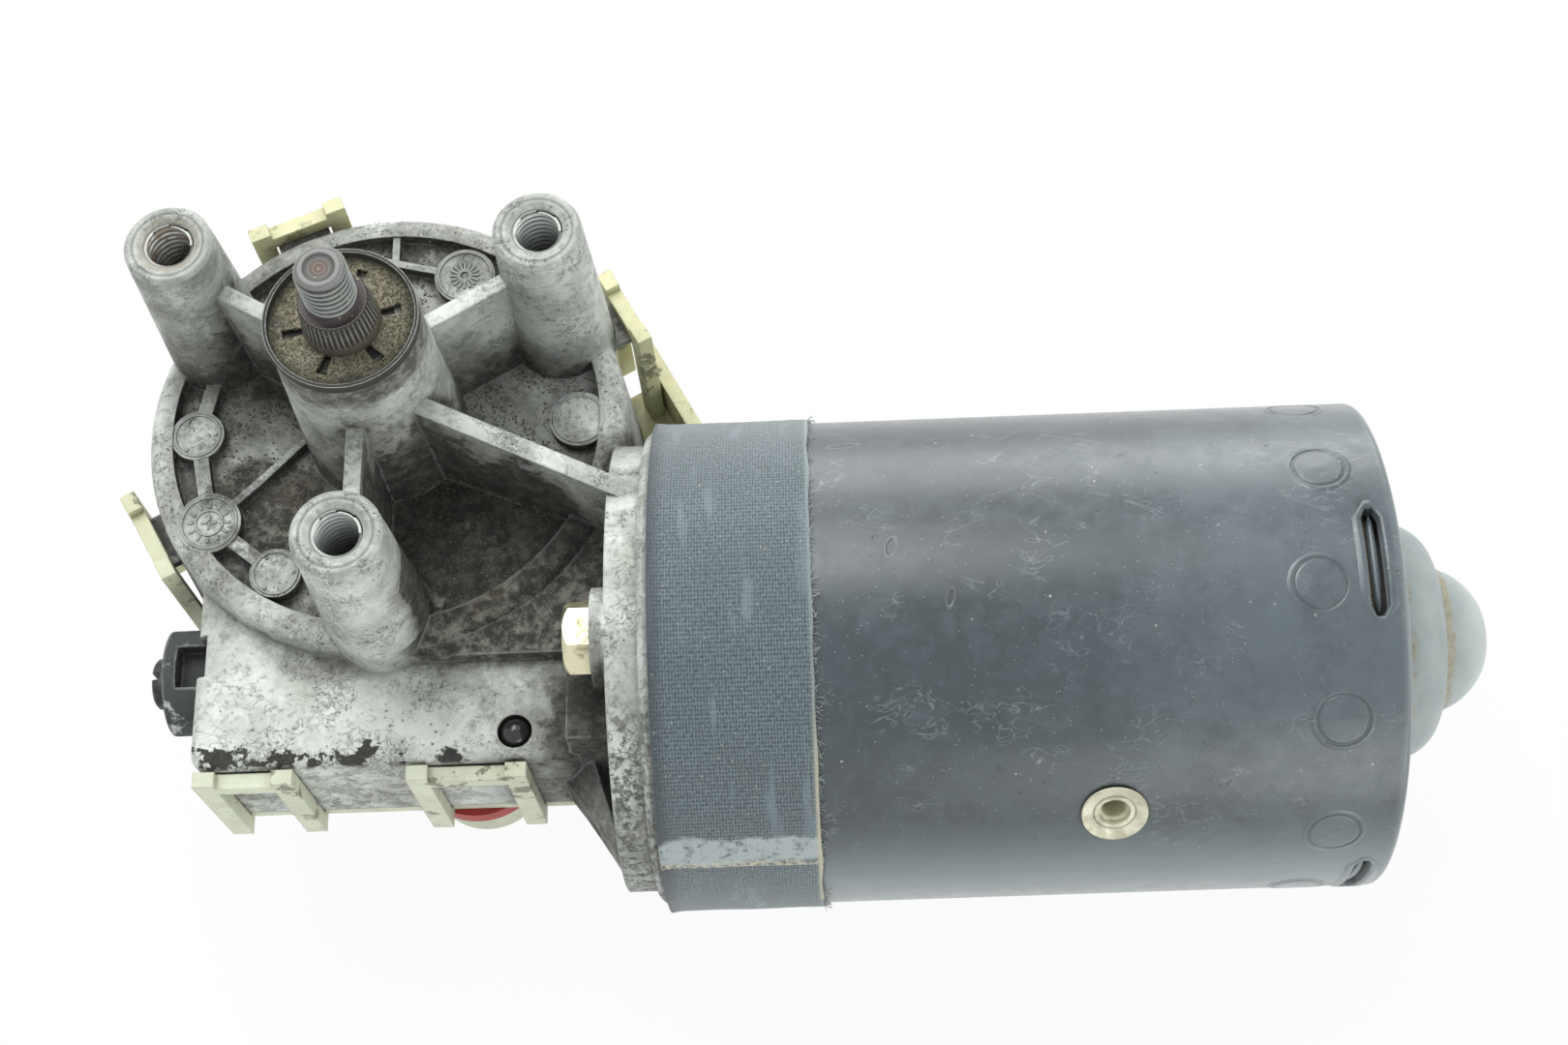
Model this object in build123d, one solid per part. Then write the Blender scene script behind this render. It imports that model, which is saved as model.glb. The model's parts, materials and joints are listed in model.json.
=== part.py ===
from build123d import *
import math
import os

# Worm-geared wiper motor, millimetres.  The origin is on the output shaft, level with
# the tops of the three mounting posts.  +Z runs out along the output shaft and +X runs
# along the motor from the gear housing to the bearing dome of the motor can.

# ---- Gear pair -------------------------------------------------------------------
gear_module = 1.0
wheel_teeth = 67
worm_pitch_radius = 4.5
tooth_addendum = 0.9
tooth_dedendum = 1.25
tooth_pitch_width = 1.25
pressure_angle = 20.0
wheel_face_width = 9.0
hub_core_radius = 9.0
worm_turns = 4

# ---- Mounting posts and output tower ----------------------------------------------
post_count = 3
post_circle_radius = 33.2
post_first_angle = 30.0
post_top_radius = 6.95
post_base_radius = 8.7
post_bore_radius = 4.0
post_bore_depth = 22.0
post_mouth_radius = 5.1
post_mouth_depth = 0.45
post_edge_round = 0.6
tower_top_z = 2.4
tower_top_radius = 11.6
tower_base_radius = 13.4
rib_thickness = 2.6
post_rib_top_z = -9.0

# ---- Gear housing -----------------------------------------------------------------
rim_z = -31.8
floor_z = -34.2
block_top_z = -37.0
housing_base_z = -61.0
drum_top_radius = 39.5
drum_base_radius = 41.0
drum_edge_round = 3.5
rim_width = 4.2
cavity_radius = 36.2
cavity_roof_z = -37.4
block_left_x = -30.0
block_right_x = 32.5
block_front_y = -57.0
floor_front_y = -40.3
block_corner_round = 3.0
block_edge_round = 1.6
block_wall = 3.0
pad_height = floor_z - rim_z
web_width = 2.4

# ---- Motor line -------------------------------------------------------------------
motor_axis_z = -49.5
end_boss_radius = 8.7
end_boss_length = 6.6
end_screw_radius = 4.2
end_screw_stick_out = 3.0
end_screw_length = 7.0
end_slot_width = 1.2
end_slot_depth = 1.3
key_pocket_length = 6.0
key_pocket_width = 7.0
tunnel_radius = 7.0
journal_radius = 3.0
bush_wall = 3.5
end_bush_length = 7.5
spindle_radius = 4.0
front_bush_radius = 8.0
front_bush_length = 8.0
rear_bush_radius = 7.0
rear_bush_length = 7.0

# ---- Motor flange, can and sleeve ---------------------------------------------------
flange_left_x = 38.0
flange_step_x = 43.1
flange_face_x = 44.7
flange_radius = 36.5
flange_lip_radius = 38.5
flange_plate = 3.6
gusset_start_x = 24.0
gusset_inset = 1.6
gusset_end_y = -72.4
gusset_back_y = -46.0
gusset_rise = 8.0
gusset_slope = 32.0
can_radius = 37.0
can_wall = 2.5
can_end_x = 153.5
can_corner_round = 2.4
shoulder_radius = 19.6
shoulder_x = 166.5
shoulder_round = 6.0
dome_base_radius = 12.6
dome_top_radius = 11.0
dome_tip_x = 178.2
dome_round = 8.6
sleeve_clearance = 0.15
sleeve_radius = 39.2
sleeve_end_x = 157.5
sleeve_lip = 1.8
sleeve_slot_count = 4
sleeve_slot_angle = 91.8
sleeve_slot_span = 25.4
sleeve_slot_width = 2.8
sleeve_slot_x = 151.8
tape_thickness = 0.6
tape_width = 24.7

# ---- Screws, rivet, ball ------------------------------------------------------------
screw_circle_radius = 29.5
screw_angle = 100.5
screw_shank_radius = 3.0
screw_head_radius = 5.9
screw_head_height = 4.3
screw_boss_radius = 7.6
screw_boss_height = 2.2
nut_lug_thickness = 4.0
nut_lug_x = 48.6
rivet_x = 113.7
rivet_angle = 148.0
rivet_head_radius = 5.0
rivet_shank_radius = 2.4
ball_radius = 2.5
ball_hole_radius = 2.75
ball_x = 21.6
ball_y = -52.4
ball_sink = 1.6

# ---- Output shaft -------------------------------------------------------------------
shaft_radius = 6.0
shaft_bottom_z = -56.5
cone_base_radius = 6.1
cone_top_radius = 5.35
cone_base_z = 3.5
cone_top_z = 10.3
neck_radius = 3.4
neck_length = 1.0
stud_radius = 4.0
shaft_tip_z = 19.8
running_gap = 0.03
disc_radius = 27.0
disc_bore_radius = 13.5
disc_thickness = 0.8
park_notch_start = 18.0
park_notch_end = 23.0
park_notch_width = 8.0
park_notch_turn = 110.0
touch_gap = 0.05
contact_places = ((16.5, 205), (20.5, 215), (25.0, 225))
bush_outer_radius = 8.0
bush_length = 15.0
tower_mouth_depth = 4.6
cap_radius = 11.85
cap_sheet = 0.6
cap_lift = 0.3
cap_rim_height = 1.9
cap_slot_count = 6
cap_slot_first = 12.5
cap_slot_width = 1.0
cap_slot_flare = 1.8
cap_slot_end = 9.2

# ---- Cover ----------------------------------------------------------------------------
gasket_thickness = 0.8
cover_thickness = 2.2
cover_gap = 0.4
hook_thickness = 2.5
hook_gap = 0.35
hook_leg = 3.4
hook_bar = 2.6
hook_ear = 1.4
hook_foot = 4.5
catch_height = 1.6
catch_root = 2.0
side_hook_reach = 1.6
socket_x = 11.5
socket_y = -46.4
socket_radius = 10.0
socket_wall = 1.5
socket_length = 14.0
seal_radius = 11.6
seal_height = 3.6

# ---- Armature and brush gear ------------------------------------------------------------
core_start_x = 80.0
core_length = 44.0
core_radius = 24.6
core_slots = 12
core_slot_depth = 9.0
core_slot_mouth = 1.6
winding_overhang = 9.0
commutator_start_x = 56.0
commutator_length = 14.0
commutator_radius = 11.0
commutator_bars = 12
air_gap = 0.7
seat_gap = 0.05
magnet_length = 52.0
magnet_span = 132.0
brush_plate_x = 54.0
brush_plate_thickness = 2.6
brush_width = 5.0
brush_depth = 8.0
brush_length = 11.0
brush_box_wall = 0.8
brush_angles = (0, 180, 60)
plate_post_place = 28.0
plate_post_width = 4.0
plate_post_height = 8.0
choke_angles = (143, 217)
choke_place = 23.0
choke_radius = 3.2
choke_length = 12.0
capacitor_place = 23.0
switch_place = 23.5

# ---- Worked out from the sizes above ------------------------------------------------------
wheel_pitch_radius = gear_module * wheel_teeth / 2
centre_distance = wheel_pitch_radius + worm_pitch_radius
motor_axis_y = -centre_distance
worm_lead = math.pi * gear_module
worm_length = worm_turns * worm_lead
flank_slope = 2 * math.tan(math.radians(pressure_angle))
worm_tip_radius = worm_pitch_radius + tooth_addendum
worm_root_radius = worm_pitch_radius - tooth_dedendum
wheel_tip_radius = wheel_pitch_radius + tooth_addendum
wheel_root_radius = wheel_pitch_radius - tooth_dedendum
wheel_low_z = motor_axis_z - wheel_face_width / 2
wheel_high_z = motor_axis_z + wheel_face_width / 2
can_bore_radius = can_radius - can_wall
cover_top_z = housing_base_z - gasket_thickness
cover_bottom_z = cover_top_z - cover_thickness
spindle_left_x = block_left_x - 1.0
spindle_right_x = dome_tip_x - 5.3
sleeve_inner_radius = can_radius + sleeve_clearance
cap_floor_z = tower_top_z + cap_lift

# Snap hooks of the cover: direction of the outward normal, distance of the housing wall and
# of the hook's outer face from the shaft axis, sideways offset, width and top height.
block_hook_distance = hook_gap + hook_thickness - block_front_y
drum_hook_distance = hook_gap + hook_thickness + drum_base_radius
block_wall_place = -block_front_y
hooks = [
    dict(turn=-90, wall=block_wall_place, distance=block_hook_distance, offset=21.3, width=15.8,
         top=block_top_z - 0.3),
    dict(turn=-90, wall=block_wall_place, distance=block_hook_distance, offset=-14.0, width=19.0,
         top=block_top_z - 0.3),
    dict(turn=209.0, wall=drum_top_radius, distance=drum_hook_distance, offset=4.6, width=17.0, top=rim_z - 4.6),
    dict(turn=111.8, wall=drum_top_radius, distance=drum_hook_distance, offset=-1.3, width=16.8, top=rim_z + 0.6),
    dict(turn=28.0, wall=drum_top_radius, distance=drum_hook_distance + side_hook_reach, offset=0.4, width=15.0,
         top=rim_z - 0.6),
]


def along_x(radius, start, end, y=motor_axis_y, z=motor_axis_z):
    """Cylinder lying along X, on the motor axis unless told otherwise."""
    bar = Cylinder(radius, end - start, align=(Align.CENTER, Align.CENTER, Align.MIN))
    return Pos(start, y, z) * Rot(0, 90, 0) * bar


def tube_x(outer, inner, start, end):
    return along_x(outer, start, end) - along_x(inner, start - 1, end + 1)


def upright(radius, low, high, x=0.0, y=0.0):
    """Cylinder standing along Z between two heights."""
    return Pos(x, y, low) * Cylinder(radius, high - low, align=(Align.CENTER, Align.CENTER, Align.MIN))


def taper(low_radius, high_radius, low, high, x=0.0, y=0.0):
    body = Cone(low_radius, high_radius, high - low, align=(Align.CENTER, Align.CENTER, Align.MIN))
    return Pos(x, y, low) * body


def block(x0, x1, y0, y1, z0, z1):
    """Box between opposite corners."""
    return Pos((x0 + x1) / 2, (y0 + y1) / 2, (z0 + z1) / 2) * Box(x1 - x0, y1 - y0, z1 - z0)


def turned_x(face):
    """Turn a half section, drawn as (x, radius), about the motor axis."""
    return Pos(0, motor_axis_y, motor_axis_z) * revolve(face, Axis.X)


def turned_z(face):
    """Turn a half section, drawn as (radius, z), about the output axis."""
    return Rot(90, 0, 0) * revolve(face, Axis.Y)


def polar(radius, degrees):
    angle = math.radians(degrees)
    return radius * math.cos(angle), radius * math.sin(angle)


def motor_point(radius, degrees):
    """Y and Z of a point at an angle round the motor axis; 0 is +Y and 90 is +Z."""
    y, z = polar(radius, degrees)
    return motor_axis_y + y, motor_axis_z + z


def post_places():
    for number in range(post_count):
        yield polar(post_circle_radius, post_first_angle + number * 360 / post_count)


def wall_between(start, end, low, start_top, end_top, thickness):
    """Upright wall between two plan points with a sloping top edge."""
    run = math.hypot(end[0] - start[0], end[1] - start[1])
    turn = math.degrees(math.atan2(end[1] - start[1], end[0] - start[0]))
    outline = Polyline((0, low), (run, low), (run, end_top), (0, start_top), close=True)
    wall = extrude(Plane.XZ * make_face(outline), thickness / 2, both=True)
    return Pos(start[0], start[1], 0) * Rot(0, 0, turn) * wall


def hook_frame(hook):
    """Place a shape drawn with x across the hook, y outwards from its outer face."""
    return Rot(0, 0, hook["turn"] - 90) * Pos(hook["offset"], hook["distance"], 0)


# ---- Gear housing -------------------------------------------------------------------------
def housing_drum():
    drum = taper(drum_base_radius, drum_top_radius, housing_base_z, rim_z)
    drum = fillet(drum.edges().group_by(Axis.Z)[-1], drum_edge_round)
    floor_cut = upright(drum_top_radius - rim_width, floor_z, rim_z + 1)
    return drum - floor_cut


def housing_block():
    body = block(block_left_x, block_right_x, block_front_y, 0, housing_base_z, block_top_z)
    front = body.edges().filter_by(Axis.Z).group_by(Axis.Y)[0]
    body = fillet(front, block_corner_round)
    rims = body.edges().group_by(Axis.Z)[-1]
    body = fillet(rims, block_edge_round)
    bridge = block(0, flange_left_x + 1, floor_front_y, -6, housing_base_z, floor_z)
    return body + bridge


def housing_flange():
    flange = along_x(flange_radius, flange_left_x, flange_step_x + 0.5)
    lip = along_x(flange_lip_radius, flange_step_x, flange_face_x)
    flange = flange + chamfer(lip.edges().group_by(Axis.X)[0], 0.8)
    spigot = tube_x(can_bore_radius - 0.1, can_bore_radius - 2.6, flange_face_x - 0.5, flange_face_x + 3)
    for turn in (screw_angle, screw_angle + 180):
        y, z = motor_point(screw_circle_radius, turn)
        boss = along_x(screw_boss_radius, flange_left_x - screw_boss_height, flange_face_x, y, z)
        flange = flange + boss
    return flange + spigot


def housing_gusset():
    """Web that fairs the block into the lower half of the motor flange, parted at the motor axis."""
    root = block_front_y + gusset_inset
    edge = [(gusset_start_x, root), (gusset_start_x + 4.0, root - 1.4), (30.7, -60.5), (33.1, -64.1),
            (36.2, -69.0), (flange_left_x + 0.4, gusset_end_y)]
    outline = Polyline(*edge, (flange_left_x + 0.4, gusset_back_y), (gusset_start_x, gusset_back_y), close=True)
    lower = extrude(make_face(outline), motor_axis_z - housing_base_z)
    slope = extrude(make_face(outline), gusset_rise, taper=gusset_slope)
    lug = block(30.5, flange_left_x + 1, -56.2, -45.5, block_top_z - 8, block_top_z + 7)
    return Pos(0, 0, housing_base_z) * lower + Pos(0, 0, motor_axis_z) * slope + lug


def housing_posts():
    tower = taper(tower_base_radius, tower_top_radius, floor_z - 2, tower_top_z)
    parts = tower + upright(tower_base_radius - 1.4, wheel_high_z + 1.5, floor_z)
    low = block_top_z - 1
    for x, y in post_places():
        post = taper(post_base_radius, post_top_radius, low, 0, x, y)
        parts = parts + chamfer(post.edges().group_by(Axis.Z)[-1], post_edge_round)
        parts = parts + wall_between((0, 0), (x, y), floor_z - 1, post_rib_top_z, post_rib_top_z, rib_thickness)
    return parts


def flange_rib():
    """Tall rib from the output tower down to the top of the motor flange."""
    end = (flange_step_x, -21.3)
    end_top = motor_axis_z + math.sqrt(flange_radius ** 2 - (end[1] - motor_axis_y) ** 2) - 0.3
    return wall_between((0, -3.6), end, floor_z - 1, post_rib_top_z, end_top, rib_thickness + 0.4)


def floor_pads():
    """Ejector pads and the webs that join them, level with the rim of the drum."""
    date_pad = (-28.1, -16.9)
    left_pad = (-31.2, -1.0)
    front_pad = (-16.8, -26.0)
    right_pad = (31.9, -0.5)
    rear_pad = (12.2, 27.2)
    pads = upright(5.2, floor_z - 1, rim_z, *date_pad)
    for place, radius in ((left_pad, 4.4), (front_pad, 4.2), (right_pad, 4.9), (rear_pad, 5.1)):
        pads = pads + upright(radius, floor_z - 1, rim_z - 0.2, *place)
    webs = [(left_pad, date_pad), (date_pad, front_pad), (left_pad, (-28.8, 10.0))]
    for start, end in webs:
        pads = pads + wall_between(start, end, floor_z - 1, rim_z - 0.3, rim_z - 0.3, web_width)
    ribs = [((0.3, 36.0), (0.3, 12.0)), ((-6.0, 31.8), rear_pad), (date_pad, (-20.5, -9.8)), ((-20.5, -9.8), (-12.0, -1.0))]
    for start, end in ribs:
        pads = pads + wall_between(start, end, floor_z - 1, rim_z - 0.3, rim_z - 0.3, web_width / 2)
    return pads


def housing_catches():
    """Ledges on the housing walls that the cover's hooks snap over."""
    ledges = []
    for hook in hooks:
        top = hook["top"] - hook_ear - hook_bar - 0.3
        width = hook["width"] - 2 * hook_leg - 0.8
        root = hook["wall"] - catch_root - hook["distance"]
        ledge = block(-width / 2, width / 2, root, -0.5, top - catch_height, top)
        ledges.append(hook_frame(hook) * ledge)
    return ledges


def housing_cuts():
    cuts = upright(cavity_radius, housing_base_z - 1, cavity_roof_z)
    cuts = cuts - upright(tower_base_radius - 1.4, wheel_high_z + 1.5, cavity_roof_z + 1)
    trough = block(block_left_x + block_wall, block_right_x - block_wall, block_front_y + block_wall,
                   motor_axis_y - tunnel_radius - 2, housing_base_z - 1, block_top_z - block_wall)
    return cuts + trough


def shaft_bores():
    bore = upright(bush_outer_radius, housing_base_z, tower_top_z + 1)
    for x, y in post_places():
        bore = bore + upright(post_bore_radius, -post_bore_depth, 1, x, y)
        flare = post_mouth_radius - post_bore_radius
        bore = bore + taper(post_bore_radius, post_mouth_radius + flare, -post_mouth_depth, post_mouth_depth, x, y)
    return bore


def motor_bores():
    bush_seat_x = flange_left_x + flange_plate - front_bush_length
    bores = along_x(tunnel_radius, block_left_x + 0.5, bush_seat_x)
    bores = bores + along_x(front_bush_radius, bush_seat_x, 60)
    bores = bores + along_x(end_screw_radius + running_gap, block_left_x - end_boss_length - 1, block_left_x + 1)
    bores = bores + along_x(can_bore_radius - 4.5, flange_left_x + flange_plate, 60)
    return bores


def small_cuts():
    pocket = block(block_left_x - 4.4, block_left_x - 4.4 + key_pocket_length,
                   motor_axis_y - key_pocket_width / 2, motor_axis_y + key_pocket_width / 2,
                   motor_axis_z + end_screw_radius + 0.6, block_top_z + 1)
    cuts = pocket + upright(ball_hole_radius, block_top_z - ball_sink - ball_radius, block_top_z + 1, ball_x, ball_y)
    cuts = cuts + block(block_right_x - 6, flange_left_x + 5, -54, -47.5, housing_base_z + 1.5, housing_base_z + 6)
    return cuts


def screw_holes():
    holes = []
    for turn in (screw_angle, screw_angle + 180):
        y, z = motor_point(screw_circle_radius, turn)
        holes.append(along_x(screw_shank_radius + 0.2, flange_left_x - 8, flange_face_x + 5, y, z))
        holes.append(along_x(screw_head_radius + 0.4, flange_left_x - 16, flange_left_x - screw_boss_height, y, z))
    return holes


def gear_housing():
    body = housing_drum() + housing_block() + housing_flange() + housing_gusset()
    body = body + along_x(end_boss_radius, block_left_x - end_boss_length, block_left_x + 2)
    body = body + housing_posts() + flange_rib() + floor_pads()
    body = body + housing_catches()
    body = body - housing_cuts() - shaft_bores() - motor_bores() - small_cuts()
    for hole in screw_holes():
        body = body - hole
    # The lug beside the block is in the way of the screw head, so it is cut by its hole.
    tunnel_wall = tube_x(tunnel_radius + 2.2, tunnel_radius, block_left_x + 1, -14)
    return body + (tunnel_wall - upright(cavity_radius, housing_base_z, cavity_roof_z))


# ---- Output side -----------------------------------------------------------------------------
def output_shaft():
    thread_start = cone_top_z + neck_length
    profile = Polyline(
        (0, shaft_bottom_z), (shaft_radius - 0.6, shaft_bottom_z), (shaft_radius, shaft_bottom_z + 0.6),
        (shaft_radius, cone_base_z), (cone_base_radius, cone_base_z + 0.3), (cone_top_radius, cone_top_z - 0.4),
        (cone_top_radius - 0.4, cone_top_z), (neck_radius, cone_top_z), (neck_radius, thread_start),
        (stud_radius, thread_start + 0.6), (stud_radius, shaft_tip_z - 0.9), (stud_radius - 0.9, shaft_tip_z),
        (0, shaft_tip_z), close=True)
    return turned_z(make_face(profile))


def gear_outline():
    """Plan of the toothed rim: straight-flanked teeth with a gap facing the worm."""
    def half_angle(radius):
        width = tooth_pitch_width - (radius - wheel_pitch_radius) * flank_slope
        return math.degrees(width / 2 / radius)

    corners = []
    step = 360 / wheel_teeth
    for tooth in range(wheel_teeth):
        middle = -90 + (tooth + 0.5) * step
        corners.append(polar(wheel_root_radius, middle - half_angle(wheel_root_radius)))
        corners.append(polar(wheel_tip_radius, middle - half_angle(wheel_tip_radius)))
        corners.append(polar(wheel_tip_radius, middle + half_angle(wheel_tip_radius)))
        corners.append(polar(wheel_root_radius, middle + half_angle(wheel_root_radius)))
    return make_face(Polyline(*corners, close=True))


def worm_wheel():
    lead_slope = worm_lead / (2 * math.pi * worm_pitch_radius)
    lean = math.degrees(lead_slope * wheel_face_width / 2 / wheel_pitch_radius)
    outline = gear_outline()
    low = Pos(0, 0, wheel_low_z) * Rot(0, 0, -lean) * outline
    high = Pos(0, 0, wheel_high_z) * Rot(0, 0, lean) * outline
    rim = loft([low, high], ruled=True)
    web_low = motor_axis_z - 2
    web_high = motor_axis_z + 2
    dish = upright(wheel_root_radius - 3.6, wheel_low_z - 1, wheel_high_z + 1)
    dish = dish - upright(wheel_root_radius, web_low, web_high)
    wheel = rim - dish
    hub = upright(12.5, wheel_low_z, wheel_high_z)
    wheel = wheel + hub
    for number in range(8):
        spoke = Rot(0, 0, number * 45) * block(12, wheel_root_radius - 3, -0.9, 0.9, wheel_low_z, wheel_high_z - 1)
        wheel = wheel + spoke
    return wheel - upright(hub_core_radius, wheel_low_z - 1, wheel_high_z + 1)


def wheel_hub():
    """Steel driving hub: pressed on the shaft, keyed into the moulded wheel."""
    core = upright(hub_core_radius - 0.02, wheel_low_z, wheel_high_z)
    return core - upright(shaft_radius + 0.01, wheel_low_z - 1, wheel_high_z + 1)


def contact_disc():
    low = wheel_low_z - disc_thickness
    disc = upright(disc_radius, low, wheel_low_z) - upright(disc_bore_radius, low - 1, wheel_low_z + 1)
    notch = block(park_notch_start, park_notch_end, -park_notch_width / 2, park_notch_width / 2, low - 1,
                  wheel_low_z + 1)
    return disc - Rot(0, 0, park_notch_turn) * notch


def shaft_bush(low):
    return upright(bush_outer_radius, low, low + bush_length) - upright(
        shaft_radius + running_gap, low - 1, low + bush_length + 1)


def shaft_washer(low, high):
    return upright(9.6, low, high) - upright(shaft_radius + 0.1, low - 1, high + 1)


def shaft_seal():
    low = tower_top_z - tower_mouth_depth + 0.1
    ring = upright(bush_outer_radius, low, tower_top_z - 0.1)
    return ring - upright(shaft_radius + 0.15, low - 1, tower_top_z + 1)


def star_cap():
    """Push-on lock cap with an upturned rim and six relief slots."""
    outer = cap_radius
    disc = upright(outer, cap_floor_z, cap_floor_z + cap_rim_height)
    disc = disc - upright(outer - cap_sheet, cap_floor_z + cap_sheet, cap_floor_z + 5)
    disc = disc - upright(shaft_radius + 0.01, cap_floor_z - 1, cap_floor_z + 5)
    inner = shaft_radius - 1
    wedge = Polyline((inner, -cap_slot_width / 2), (cap_slot_end, -cap_slot_flare / 2),
                     (cap_slot_end, cap_slot_flare / 2), (inner, cap_slot_width / 2), close=True)
    slot = Pos(0, 0, cap_floor_z - 1) * extrude(make_face(wedge), 5)
    for number in range(cap_slot_count):
        disc = disc - Rot(0, 0, cap_slot_first + number * 360 / cap_slot_count) * slot
    return disc


# ---- Worm and armature --------------------------------------------------------------------------
def worm_section():
    """Section across the worm at one height: a single start seen along the spindle."""
    def turn_of(radius):
        width = tooth_pitch_width - (radius - worm_pitch_radius) * flank_slope
        return width / 2 * 360 / worm_lead

    tip, root = turn_of(worm_tip_radius), turn_of(worm_root_radius)
    steps = 4
    rising = []
    for count in range(steps + 1):
        radius = worm_root_radius + (worm_tip_radius - worm_root_radius) * count / steps
        rising.append(polar(radius, -turn_of(radius)))
    falling = [(x, -y) for x, y in reversed(rising)]
    crest = ThreePointArc(polar(worm_tip_radius, -tip), (worm_tip_radius, 0), polar(worm_tip_radius, tip))
    valley = ThreePointArc(polar(worm_root_radius, root), (-worm_root_radius, 0), polar(worm_root_radius, -root))
    return make_face(Curve() + [Spline(*rising), crest, Spline(*falling), valley])


def armature_shaft():
    twist = Solid.extrude_linear_with_rotation(
        worm_section().face(), (0, 0, 0), (0, 0, worm_length), worm_turns * 360)
    # The crest faces the wheel in the middle of the worm's length.
    crest_turn = 90 - worm_turns * 180
    thread = Pos(-worm_length / 2, motor_axis_y, motor_axis_z) * Rot(0, 90, 0) * Rot(0, 0, crest_turn) * twist
    half = worm_length / 2
    spindle = along_x(journal_radius, spindle_left_x, -half - 6)
    spindle = spindle + along_x(worm_root_radius, -half - 6, -half)
    spindle = spindle + along_x(worm_root_radius, half, half + 4)
    spindle = spindle + along_x(spindle_radius, half + 4, spindle_right_x)
    return thread + spindle


def armature_core():
    disc = along_x(core_radius, core_start_x, core_start_x + core_length)
    disc = disc - along_x(spindle_radius, core_start_x - 1, core_start_x + core_length + 1)
    for number in range(core_slots):
        turn = Rot(number * 360 / core_slots, 0, 0)
        mouth = block(core_start_x - 1, core_start_x + core_length + 1, core_radius - 3, core_radius + 1,
                      -core_slot_mouth / 2, core_slot_mouth / 2)
        pocket = block(core_start_x - 1, core_start_x + core_length + 1, core_radius - 1.4 - core_slot_depth,
                       core_radius - 1.4, -2.6, 2.6)
        disc = disc - Pos(0, motor_axis_y, motor_axis_z) * turn * (mouth + pocket)
    return disc


def armature_windings():
    """Copper in the slots, joined by the end turns on both faces of the core."""
    start, end = core_start_x, core_start_x + core_length
    outer = core_radius - 1.6
    inner = core_radius - 1.4 - core_slot_depth + 0.4
    coil = None
    for low, high in ((start - winding_overhang, start - 0.3), (end + 0.3, end + winding_overhang)):
        middle = (low + high) / 2
        section = Polyline((low + 1.5, inner - 4), (high - 1.5, inner - 4), (high, inner), (high, outer),
                           (middle, outer + 0.6), (low, outer), (low, inner), close=True)
        ring = turned_x(make_face(section))
        coil = ring if coil is None else coil + ring
    for number in range(core_slots):
        bar = block(start - 1.5, end + 1.5, inner + 0.4, outer - 0.6, -2.3, 2.3)
        coil = coil + Pos(0, motor_axis_y, motor_axis_z) * Rot(number * 360 / core_slots, 0, 0) * bar
    return coil


def commutator():
    start, end = commutator_start_x, commutator_start_x + commutator_length
    body = along_x(commutator_radius, start, end) + along_x(commutator_radius + 1.6, end - 2.4, end)
    body = body - along_x(spindle_radius, start - 1, end + 1)
    for number in range(commutator_bars):
        groove = block(start - 1, end + 1, commutator_radius - 0.8, commutator_radius + 3, -0.35, 0.35)
        body = body - Pos(0, motor_axis_y, motor_axis_z) * Rot((number + 0.5) * 360 / commutator_bars, 0, 0) * groove
    return body


def spindle_washer(low, high, outer, inner):
    return tube_x(outer, inner + 0.05, low, high)


# ---- Motor can -------------------------------------------------------------------------------------
def nut_lugs():
    """Threaded lugs inside the mouth of the can that take the two clamping screws."""
    lugs = None
    for turn in (screw_angle, screw_angle + 180):
        y, z = motor_point(screw_circle_radius, turn)
        lug = along_x(5.4, nut_lug_x, nut_lug_x + nut_lug_thickness, y, z)
        reach = Pos(0, motor_axis_y, motor_axis_z) * Rot(turn, 0, 0) * block(
            nut_lug_x, nut_lug_x + nut_lug_thickness, screw_circle_radius, can_bore_radius + 1, -5.4, 5.4)
        lug = lug + reach - along_x(screw_shank_radius + 0.05, nut_lug_x - 1, nut_lug_x + 9, y, z)
        lug = lug & along_x(can_bore_radius + 1, nut_lug_x - 1, nut_lug_x + 9)
        lugs = lug if lugs is None else lugs + lug
    return lugs


def can_profile(shrink):
    """Half section of the can from the mouth to the tip of its bearing dome."""
    mouth = flange_face_x - shrink
    end = can_end_x - shrink
    step = shoulder_x - shrink
    tip = dome_tip_x - shrink
    wide, middle, narrow = can_radius - shrink, shoulder_radius - shrink, dome_base_radius - shrink
    return make_face(Polyline(
        (mouth, 0), (mouth, wide), (end, wide), (end, middle), (step, middle), (step, narrow),
        (tip, dome_top_radius - shrink), (tip, 0), close=True))


def rounded_can():
    """Outside of the can: drawn corners at the end, the shoulder and the dome."""
    profile = can_profile(0)
    corners = [((can_end_x, can_radius), can_corner_round), ((shoulder_x, shoulder_radius), shoulder_round),
               ((dome_tip_x, dome_top_radius), dome_round)]
    for place, radius in corners:
        corner = profile.vertices().sort_by_distance((place[0], place[1], 0))[0]
        profile = fillet(corner, radius)
    return profile


def pole_housing():
    shell = turned_x(rounded_can()) - turned_x(can_profile(can_wall))
    hole = Pos(rivet_x, motor_axis_y, motor_axis_z) * Rot(rivet_angle, 0, 0) * Rot(-90, 0, 0) * Cylinder(
        rivet_shank_radius + 0.05, 2 * (can_radius + 4))
    half = Pos(rivet_x, motor_axis_y, motor_axis_z) * Rot(rivet_angle, 0, 0) * block(-9, 9, 0, 60, -9, 9)
    shell = shell - (hole & half)
    seat = tube_x(dome_base_radius - can_wall + 0.6, rear_bush_radius, shoulder_x - 1.5, shoulder_x + 4.5)
    return shell + nut_lugs() + seat


def rear_bush():
    start = shoulder_x - 2.0
    bush = along_x(rear_bush_radius, start, start + rear_bush_length)
    return bush - along_x(spindle_radius + running_gap, start - 1, start + rear_bush_length + 1)


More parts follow.
